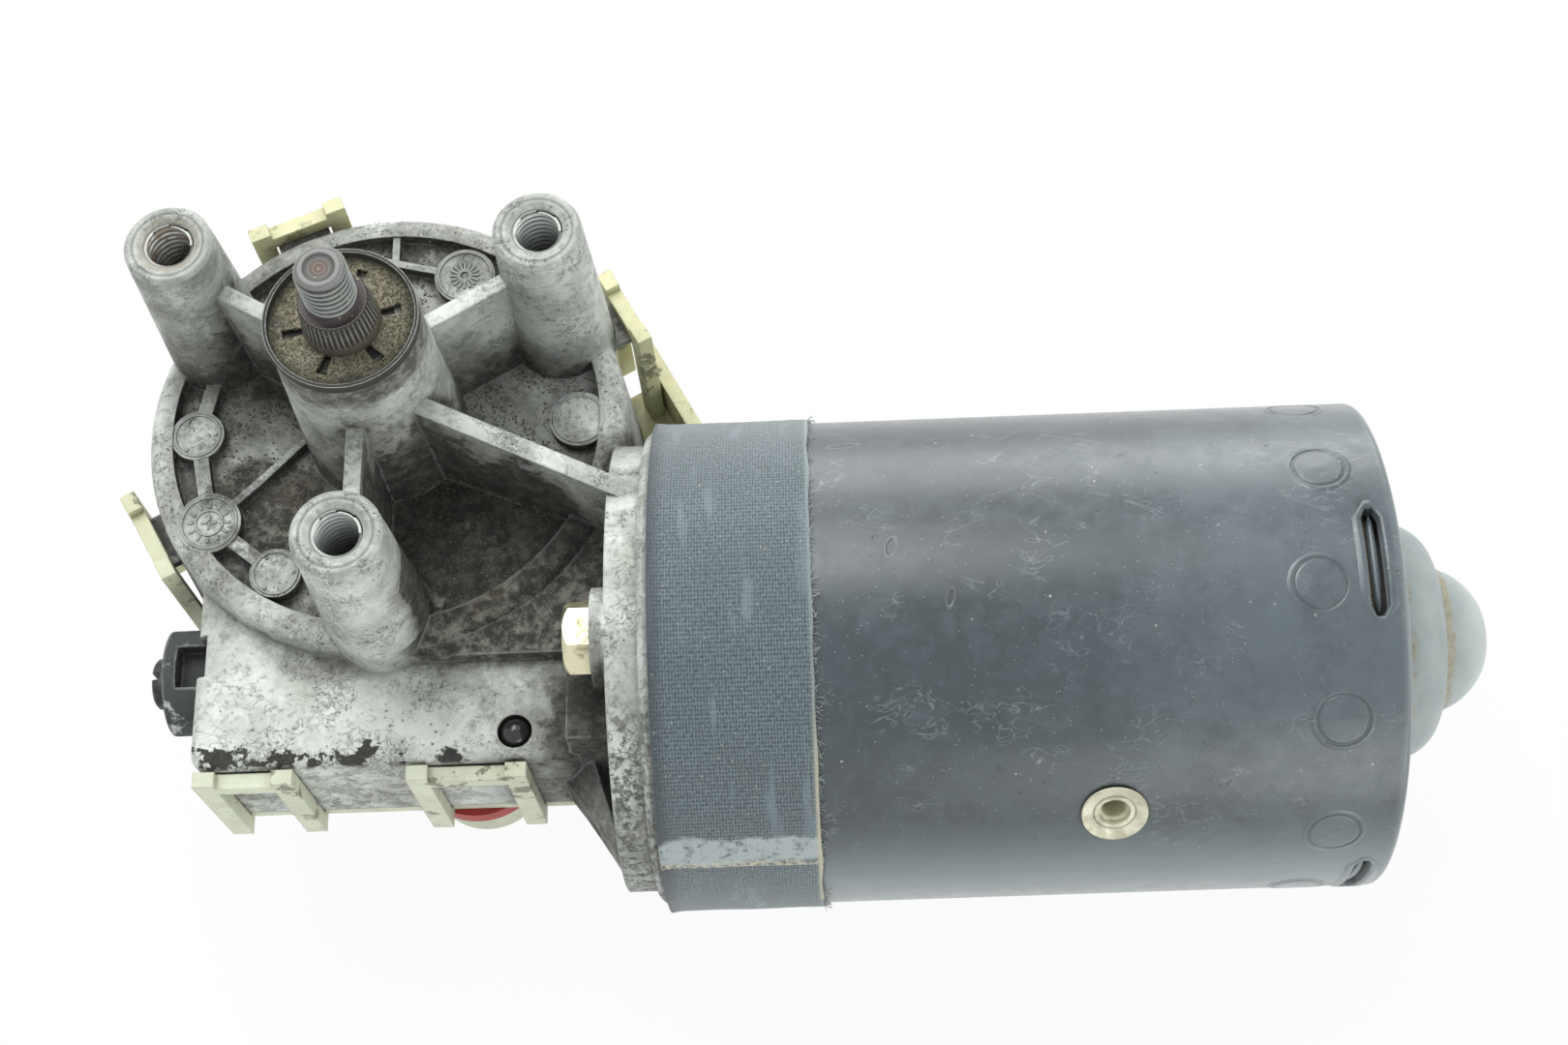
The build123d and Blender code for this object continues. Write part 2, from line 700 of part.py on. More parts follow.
def bush_retainer():
    """Sheet spring washer that holds the rear bush in its seat."""
    start = shoulder_x - can_wall - 1.7
    disc = along_x(dome_base_radius, start, start + 0.8) - along_x(5.2, start - 1, start + 2)
    skirt = tube_x(dome_base_radius, dome_base_radius - 0.8, start, start + 1.6)
    return disc + skirt


def sector(outer, inner, start, end, middle_angle, span):
    """Arc-shaped block about the motor axis."""
    half = span / 2
    a, b = middle_angle - half, middle_angle + half
    outline = Curve() + [
        ThreePointArc(polar(outer, a), polar(outer, middle_angle), polar(outer, b)),
        Line(polar(outer, b), polar(inner, b)),
        ThreePointArc(polar(inner, b), polar(inner, middle_angle), polar(inner, a)),
        Line(polar(inner, a), polar(outer, a))]
    shape = extrude(make_face(outline), end - start)
    # The plan's x becomes Y and its y becomes Z, with the length along X.
    return Pos(start, motor_axis_y, motor_axis_z) * Rot(90, 0, 0) * Rot(0, 90, 0) * shape


def magnets():
    start = core_start_x + core_length / 2 - magnet_length / 2
    outer = can_bore_radius - seat_gap
    return [sector(outer, core_radius + air_gap, start, start + magnet_length, angle, magnet_span)
            for angle in (90, 270)]


def magnet_springs():
    """Bent sheet springs that push the two magnets apart against the can."""
    start = core_start_x + core_length / 2 - magnet_length / 2 + 4
    outer = can_bore_radius - 0.1
    gap = 180 - magnet_span - 3
    springs = []
    for angle in (0, 180):
        arch = sector(outer, outer - 1.0, start, start + magnet_length - 8, angle, gap)
        for side in (-1, 1):
            arch = arch + sector(outer, outer - 6, start, start + magnet_length - 8, angle + side * (gap / 2 - 1), 2)
        springs.append(arch)
    return springs


def pole_sleeve():
    """Rubber sleeve with four end slots and an inturned end lip."""
    start = flange_face_x + 0.3
    body = along_x(sleeve_radius, start, sleeve_end_x)
    body = fillet(body.edges().group_by(Axis.X)[-1], 1.0)
    body = body - along_x(sleeve_inner_radius, start - 1, sleeve_end_x - sleeve_lip)
    body = body - along_x(shoulder_radius + 0.6, start - 1, sleeve_end_x + 1)
    for number in range(sleeve_slot_count):
        turn = sleeve_slot_angle + number * 360 / sleeve_slot_count
        body = body - sector(sleeve_radius + 2, sleeve_inner_radius - 1, sleeve_slot_x,
                             sleeve_slot_x + sleeve_slot_width, turn, sleeve_slot_span)
    hole = Pos(rivet_x, motor_axis_y, motor_axis_z) * Rot(rivet_angle, 0, 0) * Rot(-90, 0, 0) * Cylinder(
        rivet_shank_radius + 0.15, sleeve_radius + 2, align=(Align.CENTER, Align.CENTER, Align.MIN))
    return body - hole


def joint_tape():
    start = flange_face_x
    inner = sleeve_radius + 0.1
    return tube_x(inner + tape_thickness, inner, start, start + tape_width)


def sleeve_rivet():
    """Hollow rivet with a dished head, set square to the sleeve."""
    head_low = sleeve_radius + 0.05
    foot = can_bore_radius + 0.1
    profile = Polyline(
        (rivet_shank_radius - 0.5, foot), (rivet_shank_radius, foot), (rivet_shank_radius, head_low),
        (rivet_head_radius, head_low), (rivet_head_radius, head_low + 0.6), (rivet_shank_radius + 0.5, head_low - 0.1),
        (rivet_shank_radius - 0.5, head_low - 1.2), close=True)
    rivet = revolve(make_face(profile), Axis.Y)
    return Pos(rivet_x, motor_axis_y, motor_axis_z) * Rot(rivet_angle, 0, 0) * rivet


# ---- Screws and other hardware ------------------------------------------------------------------------
def clamp_screws():
    screws = []
    seat = flange_left_x - screw_boss_height
    for turn in (screw_angle, screw_angle + 180):
        y, z = motor_point(screw_circle_radius, turn)
        hexagon = extrude(RegularPolygon(screw_head_radius, 6, rotation=30), screw_head_height)
        crown = Cone(screw_head_radius + 1.1, screw_head_radius - 0.9, 2.0, align=(Align.CENTER, Align.CENTER, Align.MIN))
        crown = Pos(0, 0, screw_head_height - 2.0) * crown
        skirt = Cylinder(screw_head_radius + 1, screw_head_height - 2.0, align=(Align.CENTER, Align.CENTER, Align.MIN))
        head = hexagon & (crown + skirt)
        head = Pos(seat, y, z) * Rot(0, -90, 0) * head
        shank = along_x(screw_shank_radius, seat - 0.5, nut_lug_x + nut_lug_thickness + 0.8, y, z)
        screws.append(head + shank)
    return screws


def end_play_screw():
    left = block_left_x - end_boss_length - end_screw_stick_out
    body = along_x(end_screw_radius, left, left + end_screw_length)
    body = chamfer(body.edges().group_by(Axis.X)[0], 0.5)
    slot = block(left - 1, left + end_slot_depth, motor_axis_y - end_slot_width / 2, motor_axis_y + end_slot_width / 2,
                 motor_axis_z - 6, motor_axis_z + 6)
    return body - slot


def thrust_pad():
    left = block_left_x - end_boss_length - end_screw_stick_out + end_screw_length
    return along_x(2.6, left, spindle_left_x - running_gap)


def end_bush():
    start = block_left_x + 0.5
    return tube_x(journal_radius + bush_wall, journal_radius + running_gap, start, start + end_bush_length)


def front_bush():
    end = flange_left_x + flange_plate
    return tube_x(front_bush_radius, spindle_radius + running_gap, end - front_bush_length, end)


def seal_ball():
    return Pos(ball_x, ball_y, block_top_z - ball_sink) * Sphere(ball_radius)


# ---- Cover -----------------------------------------------------------------------------------------------
def cover_plan(shrink):
    """Plan of the open underside: the drum joined to the worm block."""
    plan = Circle(drum_base_radius - shrink)
    side = Pos((block_left_x + block_right_x) / 2, block_front_y / 2) * RectangleRounded(
        block_right_x - block_left_x - 2 * shrink, -block_front_y - 2 * shrink, block_corner_round)
    beyond = Pos(flange_left_x - cover_gap + 20 - shrink, 0) * Rectangle(40, 200)
    return plan + side - beyond


def cover_gasket():
    ring = cover_plan(0.6) - cover_plan(2.6)
    return Pos(0, 0, cover_top_z) * extrude(ring, gasket_thickness)


def snap_hook(hook):
    half = hook["width"] / 2
    inner, outer = -hook_thickness, 0.0
    bar_top = hook["top"] - hook_ear
    frame = block(-half, half, inner, outer, bar_top - hook_bar, bar_top)
    for side in (-1, 1):
        near, far = sorted((side * half, side * (half - hook_leg)))
        frame = frame + block(near, far, inner, outer, cover_bottom_z, hook["top"])
        frame = frame + block(near, far, inner - hook_foot, outer, cover_bottom_z, cover_top_z)
    return hook_frame(hook) * frame


def gear_cover():
    plate = Pos(0, 0, cover_bottom_z) * extrude(cover_plan(0.2), cover_thickness)
    for hook in hooks:
        plate = plate + snap_hook(hook)
    for radius in (16.0, 30.0):
        rib = upright(radius, cover_bottom_z - 1.2, cover_bottom_z) - upright(radius - 1.4, cover_bottom_z - 2, cover_bottom_z + 1)
        plate = plate + (rib - upright(seal_radius + 0.8, cover_bottom_z - 3, cover_bottom_z + 1, socket_x, socket_y))
    guard = wall_between((40.6, 24.3), (50.6, 5.2), cover_bottom_z, motor_axis_z - 2, motor_axis_z - 2, 2.4)
    foot = wall_between((38.0, 18.0), (46.2, 3.4), cover_bottom_z, cover_top_z, cover_top_z, 11.0)
    plate = plate + guard + foot
    collar = upright(socket_radius, cover_bottom_z - socket_length, cover_bottom_z, socket_x, socket_y)
    hollow = upright(socket_radius - socket_wall, cover_bottom_z - socket_length - 1, cover_bottom_z, socket_x, socket_y)
    key = block(socket_x - 1.6, socket_x + 1.6, socket_y + socket_radius - 0.6, socket_y + socket_radius + 1.4,
                cover_bottom_z - socket_length, cover_bottom_z)
    plate = plate + (collar - hollow) + key
    for x, y in terminal_places():
        plate = plate - block(x - 1.45, x + 1.45, y - 0.45, y + 0.45, cover_bottom_z - 1, cover_top_z + 1)
    return plate


def connector_seal():
    ring = upright(seal_radius, cover_bottom_z - seal_height, cover_bottom_z - 0.1, socket_x, socket_y)
    ring = ring - upright(socket_radius + 0.1, cover_bottom_z - seal_height - 1, cover_bottom_z + 1, socket_x, socket_y)
    key = block(socket_x - 1.8, socket_x + 1.8, socket_y + socket_radius - 1, socket_y + socket_radius + 3,
                cover_bottom_z - seal_height - 1, cover_bottom_z)
    return ring - key


def terminal_places():
    for number in range(5):
        yield socket_x + polar(4.8, 90 + number * 72)[0], socket_y + polar(4.8, 90 + number * 72)[1]


def connector_terminals():
    blades = []
    for x, y in terminal_places():
        blades.append(block(x - 1.4, x + 1.4, y - 0.4, y + 0.4, cover_bottom_z - socket_length + 4,
                            cover_top_z + gasket_thickness - 0.1))
    return blades


def contact_springs():
    """Three leaf contacts that rise from the cover and rub on the contact disc."""
    leaves = []
    touch_z = wheel_low_z - disc_thickness - touch_gap
    for radius, turn in contact_places:
        foot = block(0, 7, -1.5, 1.5, cover_top_z, cover_top_z + 0.5)
        leaf = Plane.XZ * make_face(Polyline((5, cover_top_z + 0.1), (6, cover_top_z + 0.1), (15, touch_z - 0.5),
                                             (17, touch_z), (15, touch_z), close=True))
        strip = foot + extrude(leaf, 1.5, both=True)
        x, y = polar(radius, turn)
        leaves.append(Pos(x, y, 0) * Rot(0, 0, turn - 90) * Pos(-16, 0, 0) * strip)
    return leaves


# ---- Brush gear ---------------------------------------------------------------------------------------------
def around_motor(shape, turn):
    """Turn a shape, drawn about the origin with y outwards, to its angle round the motor axis."""
    return Pos(0, motor_axis_y, motor_axis_z) * Rot(turn, 0, 0) * shape


def brush_plate():
    end = brush_plate_x + brush_plate_thickness
    plate = tube_x(can_bore_radius - 0.3, commutator_radius + 3.4, brush_plate_x, end)
    half = plate_post_width / 2
    for turn in (120, 240, 300):
        post = block(end, end + plate_post_height, plate_post_place - half, plate_post_place + half, -half, half)
        plate = plate + around_motor(post, turn)
    return plate


def brush_box(turn):
    start = brush_plate_x + brush_plate_thickness
    near = commutator_radius + 2.0
    half = brush_width / 2 + 0.05
    outer = block(start, start + brush_depth + 2 * brush_box_wall, near, near + brush_length + 5,
                  -half - brush_box_wall, half + brush_box_wall)
    inner = block(start + brush_box_wall, start + brush_box_wall + brush_depth, near - 1,
                  near + brush_length + 5 - brush_box_wall, -half, half)
    return around_motor(outer - inner, turn)


def brush(turn):
    start = brush_plate_x + brush_plate_thickness + brush_box_wall + 0.1
    tip = commutator_radius + 0.05
    bar = block(start, start + brush_depth - 0.2, tip, tip + brush_length, -brush_width / 2, brush_width / 2)
    return around_motor(bar, turn)


def brush_spring(turn):
    """Coil spring between the brush and the back of its box, as a stack of rings on a line."""
    middle = brush_plate_x + brush_plate_thickness + brush_box_wall + brush_depth / 2
    low = commutator_radius + 0.05 + brush_length + 0.05
    high = commutator_radius + 2.0 + brush_length + 5 - brush_box_wall - 0.05
    outer = Cylinder(1.9, high - low) - Cylinder(1.3, high - low + 2)
    return around_motor(Pos(middle, (low + high) / 2, 0) * Rot(90, 0, 0) * outer, turn)


def chokes():
    """Suppression chokes: ferrite rods under a tight coil, lying on the brush plate."""
    rods = []
    start = brush_plate_x + brush_plate_thickness
    axis_x = start + choke_radius + 0.2
    for turn in choke_angles:
        rod = Pos(axis_x, choke_place, 0) * Cylinder(choke_radius / 2, choke_length + 5)
        coil = Pos(axis_x, choke_place, 0) * Cylinder(choke_radius, choke_length)
        rods.append(around_motor(rod + coil, turn))
    return rods


def capacitor():
    start = brush_plate_x + brush_plate_thickness
    can = block(start, start + 6, capacitor_place - 4, capacitor_place + 4, -5, 5)
    can = fillet(can.edges().filter_by(Axis.X), 1.2)
    return around_motor(can, 270)


def thermal_switch():
    start = brush_plate_x + brush_plate_thickness
    body = block(start, start + 5, switch_place - 4.5, switch_place + 4.5, -4, 4)
    return around_motor(fillet(body.edges().filter_by(Axis.X), 0.8), 90)


parts = {
    "gear_housing": gear_housing,
    "gear_cover": gear_cover,
    "cover_gasket": cover_gasket,
    "connector_seal": connector_seal,
    "connector_terminals": connector_terminals,
    "contact_springs": contact_springs,
    "upper_shaft_bush": lambda: shaft_bush(tower_top_z - tower_mouth_depth - bush_length),
    "lower_shaft_bush": lambda: shaft_bush(wheel_high_z + 1.5),
    "shaft_seal_ring": shaft_seal,
    "thrust_washer": lambda: shaft_washer(wheel_high_z + 0.1, wheel_high_z + 1.3),
    "output_shaft": output_shaft,
    "worm_wheel": worm_wheel,
    "wheel_hub": wheel_hub,
    "contact_disc": contact_disc,
    "star_lock_cap": star_cap,
    "armature_shaft": armature_shaft,
    "armature_core": armature_core,
    "armature_windings": armature_windings,
    "commutator": commutator,
    "spindle_washers": lambda: [
        spindle_washer(flange_left_x + flange_plate + 0.2, flange_left_x + flange_plate + 1.4, 6.4, spindle_radius),
        spindle_washer(shoulder_x - 6.0, shoulder_x - 4.8, 6.0, spindle_radius)],
    "end_bush": end_bush,
    "front_bush": front_bush,
    "end_play_screw": end_play_screw,
    "thrust_pad": thrust_pad,
    "seal_ball": seal_ball,
    "clamp_screws": clamp_screws,
    "pole_housing": pole_housing,
    "pole_sleeve": pole_sleeve,
    "joint_tape": joint_tape,
    "sleeve_rivet": sleeve_rivet,
    "magnets": magnets,
    "magnet_springs": magnet_springs,
    "rear_bush": rear_bush,
    "bush_retainer": bush_retainer,
    "brush_plate": brush_plate,
    "brush_boxes": lambda: [brush_box(turn) for turn in brush_angles],
    "brushes": lambda: [brush(turn) for turn in brush_angles],
    "brush_springs": lambda: [brush_spring(turn) for turn in brush_angles],
    "suppression_chokes": chokes,
    "suppression_capacitor": capacitor,
    "thermal_switch": thermal_switch,
}


os.makedirs("parts", exist_ok=True)
for name, make in parts.items():
    shape = make()
    if isinstance(shape, list):
        shape = Compound(children=[piece.solid() for piece in shape])
    export_step(shape, f"parts/{name}.step")
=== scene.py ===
import functools
import json
import math

import bmesh
import bpy
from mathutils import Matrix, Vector, noise


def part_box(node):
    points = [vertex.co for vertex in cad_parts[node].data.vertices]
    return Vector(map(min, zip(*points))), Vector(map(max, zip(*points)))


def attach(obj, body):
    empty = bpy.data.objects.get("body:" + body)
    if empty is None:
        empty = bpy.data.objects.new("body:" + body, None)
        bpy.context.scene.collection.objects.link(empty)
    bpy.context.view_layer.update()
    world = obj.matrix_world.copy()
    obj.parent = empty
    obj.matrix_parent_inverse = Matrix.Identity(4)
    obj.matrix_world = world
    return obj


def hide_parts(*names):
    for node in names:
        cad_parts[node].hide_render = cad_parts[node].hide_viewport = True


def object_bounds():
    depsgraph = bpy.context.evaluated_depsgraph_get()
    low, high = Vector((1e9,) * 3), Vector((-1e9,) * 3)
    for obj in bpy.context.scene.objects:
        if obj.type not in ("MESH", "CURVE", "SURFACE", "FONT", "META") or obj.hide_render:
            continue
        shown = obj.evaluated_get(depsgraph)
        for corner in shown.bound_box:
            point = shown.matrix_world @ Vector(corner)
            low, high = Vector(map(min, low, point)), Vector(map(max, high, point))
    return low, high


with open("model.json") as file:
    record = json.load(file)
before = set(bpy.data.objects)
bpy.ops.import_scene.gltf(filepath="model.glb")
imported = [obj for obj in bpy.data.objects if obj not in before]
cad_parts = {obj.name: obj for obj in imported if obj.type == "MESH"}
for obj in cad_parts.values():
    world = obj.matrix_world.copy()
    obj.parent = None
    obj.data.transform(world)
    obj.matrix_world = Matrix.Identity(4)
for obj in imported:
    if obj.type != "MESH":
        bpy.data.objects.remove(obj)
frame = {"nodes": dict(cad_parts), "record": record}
cad_box = [list(corner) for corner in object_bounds()]

MM = 0.001

# ---- Sizes and places, taken from the frame where it holds them -----------------------
joints = {joint["name"]: joint for joint in frame["record"]["behaviour"]["joints"]}
motor_axis = Vector(joints["armature_spin"]["pos_m"])
mounts = {mount["name"]: mount for mount in frame["record"]["mounts"]}
post_circle = mounts["post_pattern"]["dims"]["pcd_mm"] * MM / 2
post_bore = mounts["post_pattern"]["dims"]["hole_r_mm"] * MM
post_angles = [math.radians(30 + 120 * number) for number in range(3)]
stud_radius = mounts["output_stud"]["dims"]["r_mm"] * MM
thread_pitch = 1.25 * MM
thread_depth = 0.62 * MM

sleeve_low, sleeve_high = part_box("pole_sleeve")
sleeve_radius = (sleeve_high.y - sleeve_low.y) / 2
tape_low, tape_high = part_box("joint_tape")
tape_radius = (tape_high.y - tape_low.y) / 2
shaft_low, shaft_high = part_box("output_shaft")
cap_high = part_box("star_lock_cap")[1]
floor_z = -34.2 * MM
rim_z = -31.8 * MM


# ---- Node trees --------------------------------------------------------------------------
class Signal:
    """One output of a node. Arithmetic with it adds Math nodes to the same tree."""

    def __init__(self, net, socket):
        self.net, self.socket = net, socket

    def __add__(self, other):
        return self.net.math("ADD", self, other)

    def __radd__(self, other):
        return self.net.math("ADD", other, self)

    def __sub__(self, other):
        return self.net.math("SUBTRACT", self, other)

    def __rsub__(self, other):
        return self.net.math("SUBTRACT", other, self)

    def __mul__(self, other):
        return self.net.math("MULTIPLY", self, other)

    def __truediv__(self, other):
        return self.net.math("DIVIDE", self, other)

    def __rtruediv__(self, other):
        return self.net.math("DIVIDE", other, self)

    def __abs__(self):
        return self.net.math("ABSOLUTE", self)


class Inputs:
    """A node's inputs: assigning a signal links it, and assigning anything else sets the constant."""

    def __init__(self, net, sockets):
        self.net, self.sockets = net, sockets

    def __setitem__(self, key, value):
        socket = self.sockets[key]
        if isinstance(value, Signal):
            self.net.tree.links.new(value.socket, socket)
        elif socket.type == "RGBA":
            socket.default_value = (*value, 1.0)
        else:
            socket.default_value = value


class Made:
    """A node: made[key] is one of its outputs, and made.inputs takes its inputs."""

    def __init__(self, net, node):
        self.net, self.outputs, self.inputs = net, node.outputs, Inputs(net, node.inputs)

    def __getitem__(self, key):
        return Signal(self.net, self.outputs[key])


class Net:
    """Short calls that build one node tree."""

    def __init__(self, tree):
        self.tree = tree

    def node(self, kind, inputs=None, **settings):
        made = self.tree.nodes.new(kind)
        for name, value in settings.items():
            setattr(made, name, value)
        made = Made(self, made)
        for name, value in (inputs or {}).items():
            made.inputs[name] = value
        return made

    def found(self, name):
        """A node that Blender has put in the tree already."""
        return Made(self, self.tree.nodes[name])

    def math(self, operation, *values, clamp=False):
        return self.node("ShaderNodeMath", dict(enumerate(values)), operation=operation, use_clamp=clamp)[0]

    def most(self, *values):
        return functools.reduce(lambda first, second: self.math("MAXIMUM", first, second), values)

    def least(self, *values):
        return functools.reduce(lambda first, second: self.math("MINIMUM", first, second), values)

    def length(self, first, second):
        return self.math("SQRT", first * first + second * second)

    def ramp(self, value, low, high, start=0.0, end=1.0, kind="SMOOTHSTEP"):
        """Step from start to end as value goes from low to high, smooth or LINEAR."""
        return self.node("ShaderNodeMapRange", {
            "Value": value, "From Min": low, "From Max": high, "To Min": start, "To Max": end},
            interpolation_type=kind)["Result"]

    def span(self, value, low, high, start=0.0, end=1.0):
        """The same for a length, with its limits in millimetres."""
        return self.ramp(value, low * MM, high * MM, start, end)

    def blend(self, mask, first, second):
        """Colour that goes from first to second as mask goes from 0 to 1."""
        return self.node("ShaderNodeMix", {0: mask, 6: first, 7: second}, data_type="RGBA")[2]

    def noise(self, vector, scale, detail=3.0, roughness=0.55, distortion=0.0):
        return self.node("ShaderNodeTexNoise", {
            "Vector": vector, "Scale": scale, "Detail": detail, "Roughness": roughness,
            "Distortion": distortion})[0]

    def vector(self, x, y, z):
        return self.node("ShaderNodeCombineXYZ", {0: x, 1: y, 2: z})[0]

    def split(self, vector):
        parts = self.node("ShaderNodeSeparateXYZ", {0: vector})
        return [parts[number] for number in range(3)]

    @functools.cached_property
    def place(self):
        """Position on the object, in metres in the frame: whole, then its three parts."""
        where = self.node("ShaderNodeTexCoord")["Object"]
        return where, *self.split(where)

    def effect(self, group, **inputs):
        """Place one of the effect groups; its inputs are named with _ for a space."""
        values = {name.replace("_", " "): value for name, value in inputs.items()}
        return self.node("ShaderNodeGroup", values, node_tree=group)

    def mask(self, group, **inputs):
        return self.effect(group, **inputs)["Mask"]

    def shape(self, kind, **inputs):
        """First output of a geometry node; names in small letters are the node's own settings."""
        settings = {name: value for name, value in inputs.items() if name.islower()}
        values = {name.replace("_", " "): value for name, value in inputs.items() if name not in settings}
        return self.node("GeometryNode" + kind, values, **settings)[0]

    def polar(self, radius, angle, height):
        return self.vector(radius * self.math("COSINE", angle), radius * self.math("SINE", angle), height)

    def random(self, kind, seed, low, high):
        """A FLOAT or a FLOAT_VECTOR from low to high, another for each point."""
        first, result = (0, 0) if kind == "FLOAT_VECTOR" else (2, 1)
        return self.node("FunctionNodeRandomValue", {first: low, first + 1: high, "Seed": seed},
                         data_type=kind)[result]


def shaded(tone, share):
    return tuple(value * share for value in tone)


def effect_group(name, outputs=("Mask",), **inputs):
    """Empty shader group with named inputs and outputs; returns its net and its two ends."""
    group = bpy.data.node_groups.new(name, "ShaderNodeTree")
    for label, value in inputs.items():
        socket = group.interface.new_socket(label, in_out="INPUT", socket_type="NodeSocketFloat")
        socket.default_value = value
    for label in outputs:
        kind = "NodeSocketVector" if label == "Normal" else "NodeSocketFloat"
        group.interface.new_socket(label, in_out="OUTPUT", socket_type=kind)
    net = Net(group)
    return net, net.node("NodeGroupInput"), net.node("NodeGroupOutput").inputs


def make_mottle():
    """Soft patches: Spread sets how much is covered, Edge how sharp the patches are."""
    net, start, end = effect_group("mottle", Scale=100.0, Spread=0.5, Edge=0.1, Detail=4.0, Warp=0.0)
    where = net.place[0]
    value = net.noise(where, start["Scale"], start["Detail"], 0.68, start["Warp"])
    middle = 0.72 - start["Spread"] * 0.44
    end["Mask"] = net.ramp(value, middle - start["Edge"], middle + start["Edge"])
    return net.tree


def make_crevice():
    """1 in corners and under ledges, from a short-reach occlusion test, and 0 on open faces; it places dirt
    and rust there and also painted shade.
    """
    net, start, end = effect_group("crevice", Reach=4 * MM, Power=1.0)
    shade = net.node("ShaderNodeAmbientOcclusion", {"Distance": start["Reach"]}, samples=4)
    closed = net.math("SUBTRACT", 1.0, shade["AO"], clamp=True)
    end["Mask"] = net.math("POWER", closed, start["Power"])
    return net.tree


def make_worn_edge():
    """1 along sharp outer edges, with a rounded normal for the same edges."""
    net, start, end = effect_group("worn edge", ("Mask", "Normal"), Radius=0.4 * MM)
    rounded = net.node("ShaderNodeBevel", {"Radius": start["Radius"]}, samples=3)[0]
    flat = net.node("ShaderNodeNewGeometry")["Normal"]
    match = net.node("ShaderNodeVectorMath", {0: rounded, 1: flat}, operation="DOT_PRODUCT")["Value"]
    end["Mask"] = net.ramp(match, 0.995, 0.9)
    end["Normal"] = rounded
    return net.tree


def make_grain():
    """Height of a cast or moulded skin: fine grain over slow waves."""
    net, start, end = effect_group("grain", ("Height",), Scale=1500.0, Waves=150.0)
    where = net.place[0]
    fine = net.noise(where, start["Scale"], 3.0, 0.7)
    end["Height"] = fine * 0.35 + net.noise(where, start["Waves"], 2.0, 0.5)
    return net.tree


def make_specks():
    """Scattered small grains: sand, dust and lint."""
    net, start, end = effect_group("specks", Scale=900.0, Share=0.2, Size=0.25)
    cells = net.node("ShaderNodeTexVoronoi", {"Vector": net.place[0], "Scale": start["Scale"]})
    near = net.math("LESS_THAN", cells["Distance"], start["Size"])
    chosen = net.node("ShaderNodeSeparateColor", {0: cells["Color"]})[0]
    end["Mask"] = near * net.math("LESS_THAN", chosen, start["Share"])
    return net.tree


def make_scratches():
    """Thin broken lines that run mostly one way on the surface."""
    net, start, end = effect_group("scratches", Scale=60.0, Stretch=14.0, Width=0.02)
    where = net.place[0]
    lines = []
    for turn, seed in ((0.3, 3.1), (-0.5, 9.7)):
        mapped = net.node("ShaderNodeMapping", {
            "Vector": where, "Location": (seed, seed, seed), "Rotation": (0.0, turn, turn)})
        x, y, z = net.split(mapped[0])
        value = net.noise(net.vector(x * start["Stretch"], y, z), start["Scale"], 2.0, 0.6, 0.4)
        lines.append(net.ramp(abs(value - 0.5), start["Width"], 0.0))
    gaps = net.ramp(net.noise(where, 90.0, 2.0), 0.52, 0.62)
    end["Mask"] = net.most(*lines) * gaps
    return net.tree


mottle = make_mottle()
crevice = make_crevice()
worn_edge = make_worn_edge()
grain = make_grain()
specks = make_specks()
scratches = make_scratches()


# ---- Materials -----------------------------------------------------------------------------
finishes = {}


def new_finish(name, **surface):
    """Material with a Principled shader, kept in finishes; surface holds the shader's constant values."""
    finishes[name] = bpy.data.materials.new(name)
    finishes[name].use_nodes = True
    net = Net(finishes[name].node_tree)
    inputs = net.found("Principled BSDF").inputs
    for label, value in surface.items():
        inputs[label.replace("_", " ")] = value
    return net, inputs


def bump(net, height, depth, strength=1.0, normal=None):
    inputs = {"Height": height, "Distance": depth, "Strength": strength}
    if normal is not None:
        inputs["Normal"] = normal
    return net.node("ShaderNodeBump", inputs)[0]


def zone(net, x, y, middle_x, middle_y, full, none):
    """1 within full of a point of the plan and 0 beyond none, all in millimetres."""
    return net.ramp(net.length(x - middle_x * MM, y - middle_y * MM), none * MM, full * MM)


def post_distance(net, x, y):
    """Distance in plan from the nearest post's axis."""
    return net.least(*[net.length(x - post_circle * math.cos(angle), y - post_circle * math.sin(angle))
                       for angle in post_angles])


def bare_alloy(net):
    """The clean casting: blotched, sooty in spots and scraped."""
    where = net.place[0]
    blotches = net.mask(mottle, Scale=75.0, Spread=0.5, Edge=0.14, Detail=9.0, Warp=0.6)
    bare = net.blend(blotches, (0.77, 0.805, 0.765), (0.5, 0.525, 0.475))
    fine = net.mask(mottle, Scale=1150.0, Spread=0.42, Edge=0.08, Detail=4.0)
    sooty = net.ramp(net.noise(where, 230.0, 6.0, 0.7), 0.46, 0.60, 0.10, 0.60)
    bare = net.blend(fine * sooty, bare, (0.185, 0.19, 0.165))
    scrapes = net.mask(scratches, Scale=260.0, Stretch=0.12, Width=0.01)
    return net.blend(scrapes * 0.55, bare, (0.16, 0.165, 0.15))


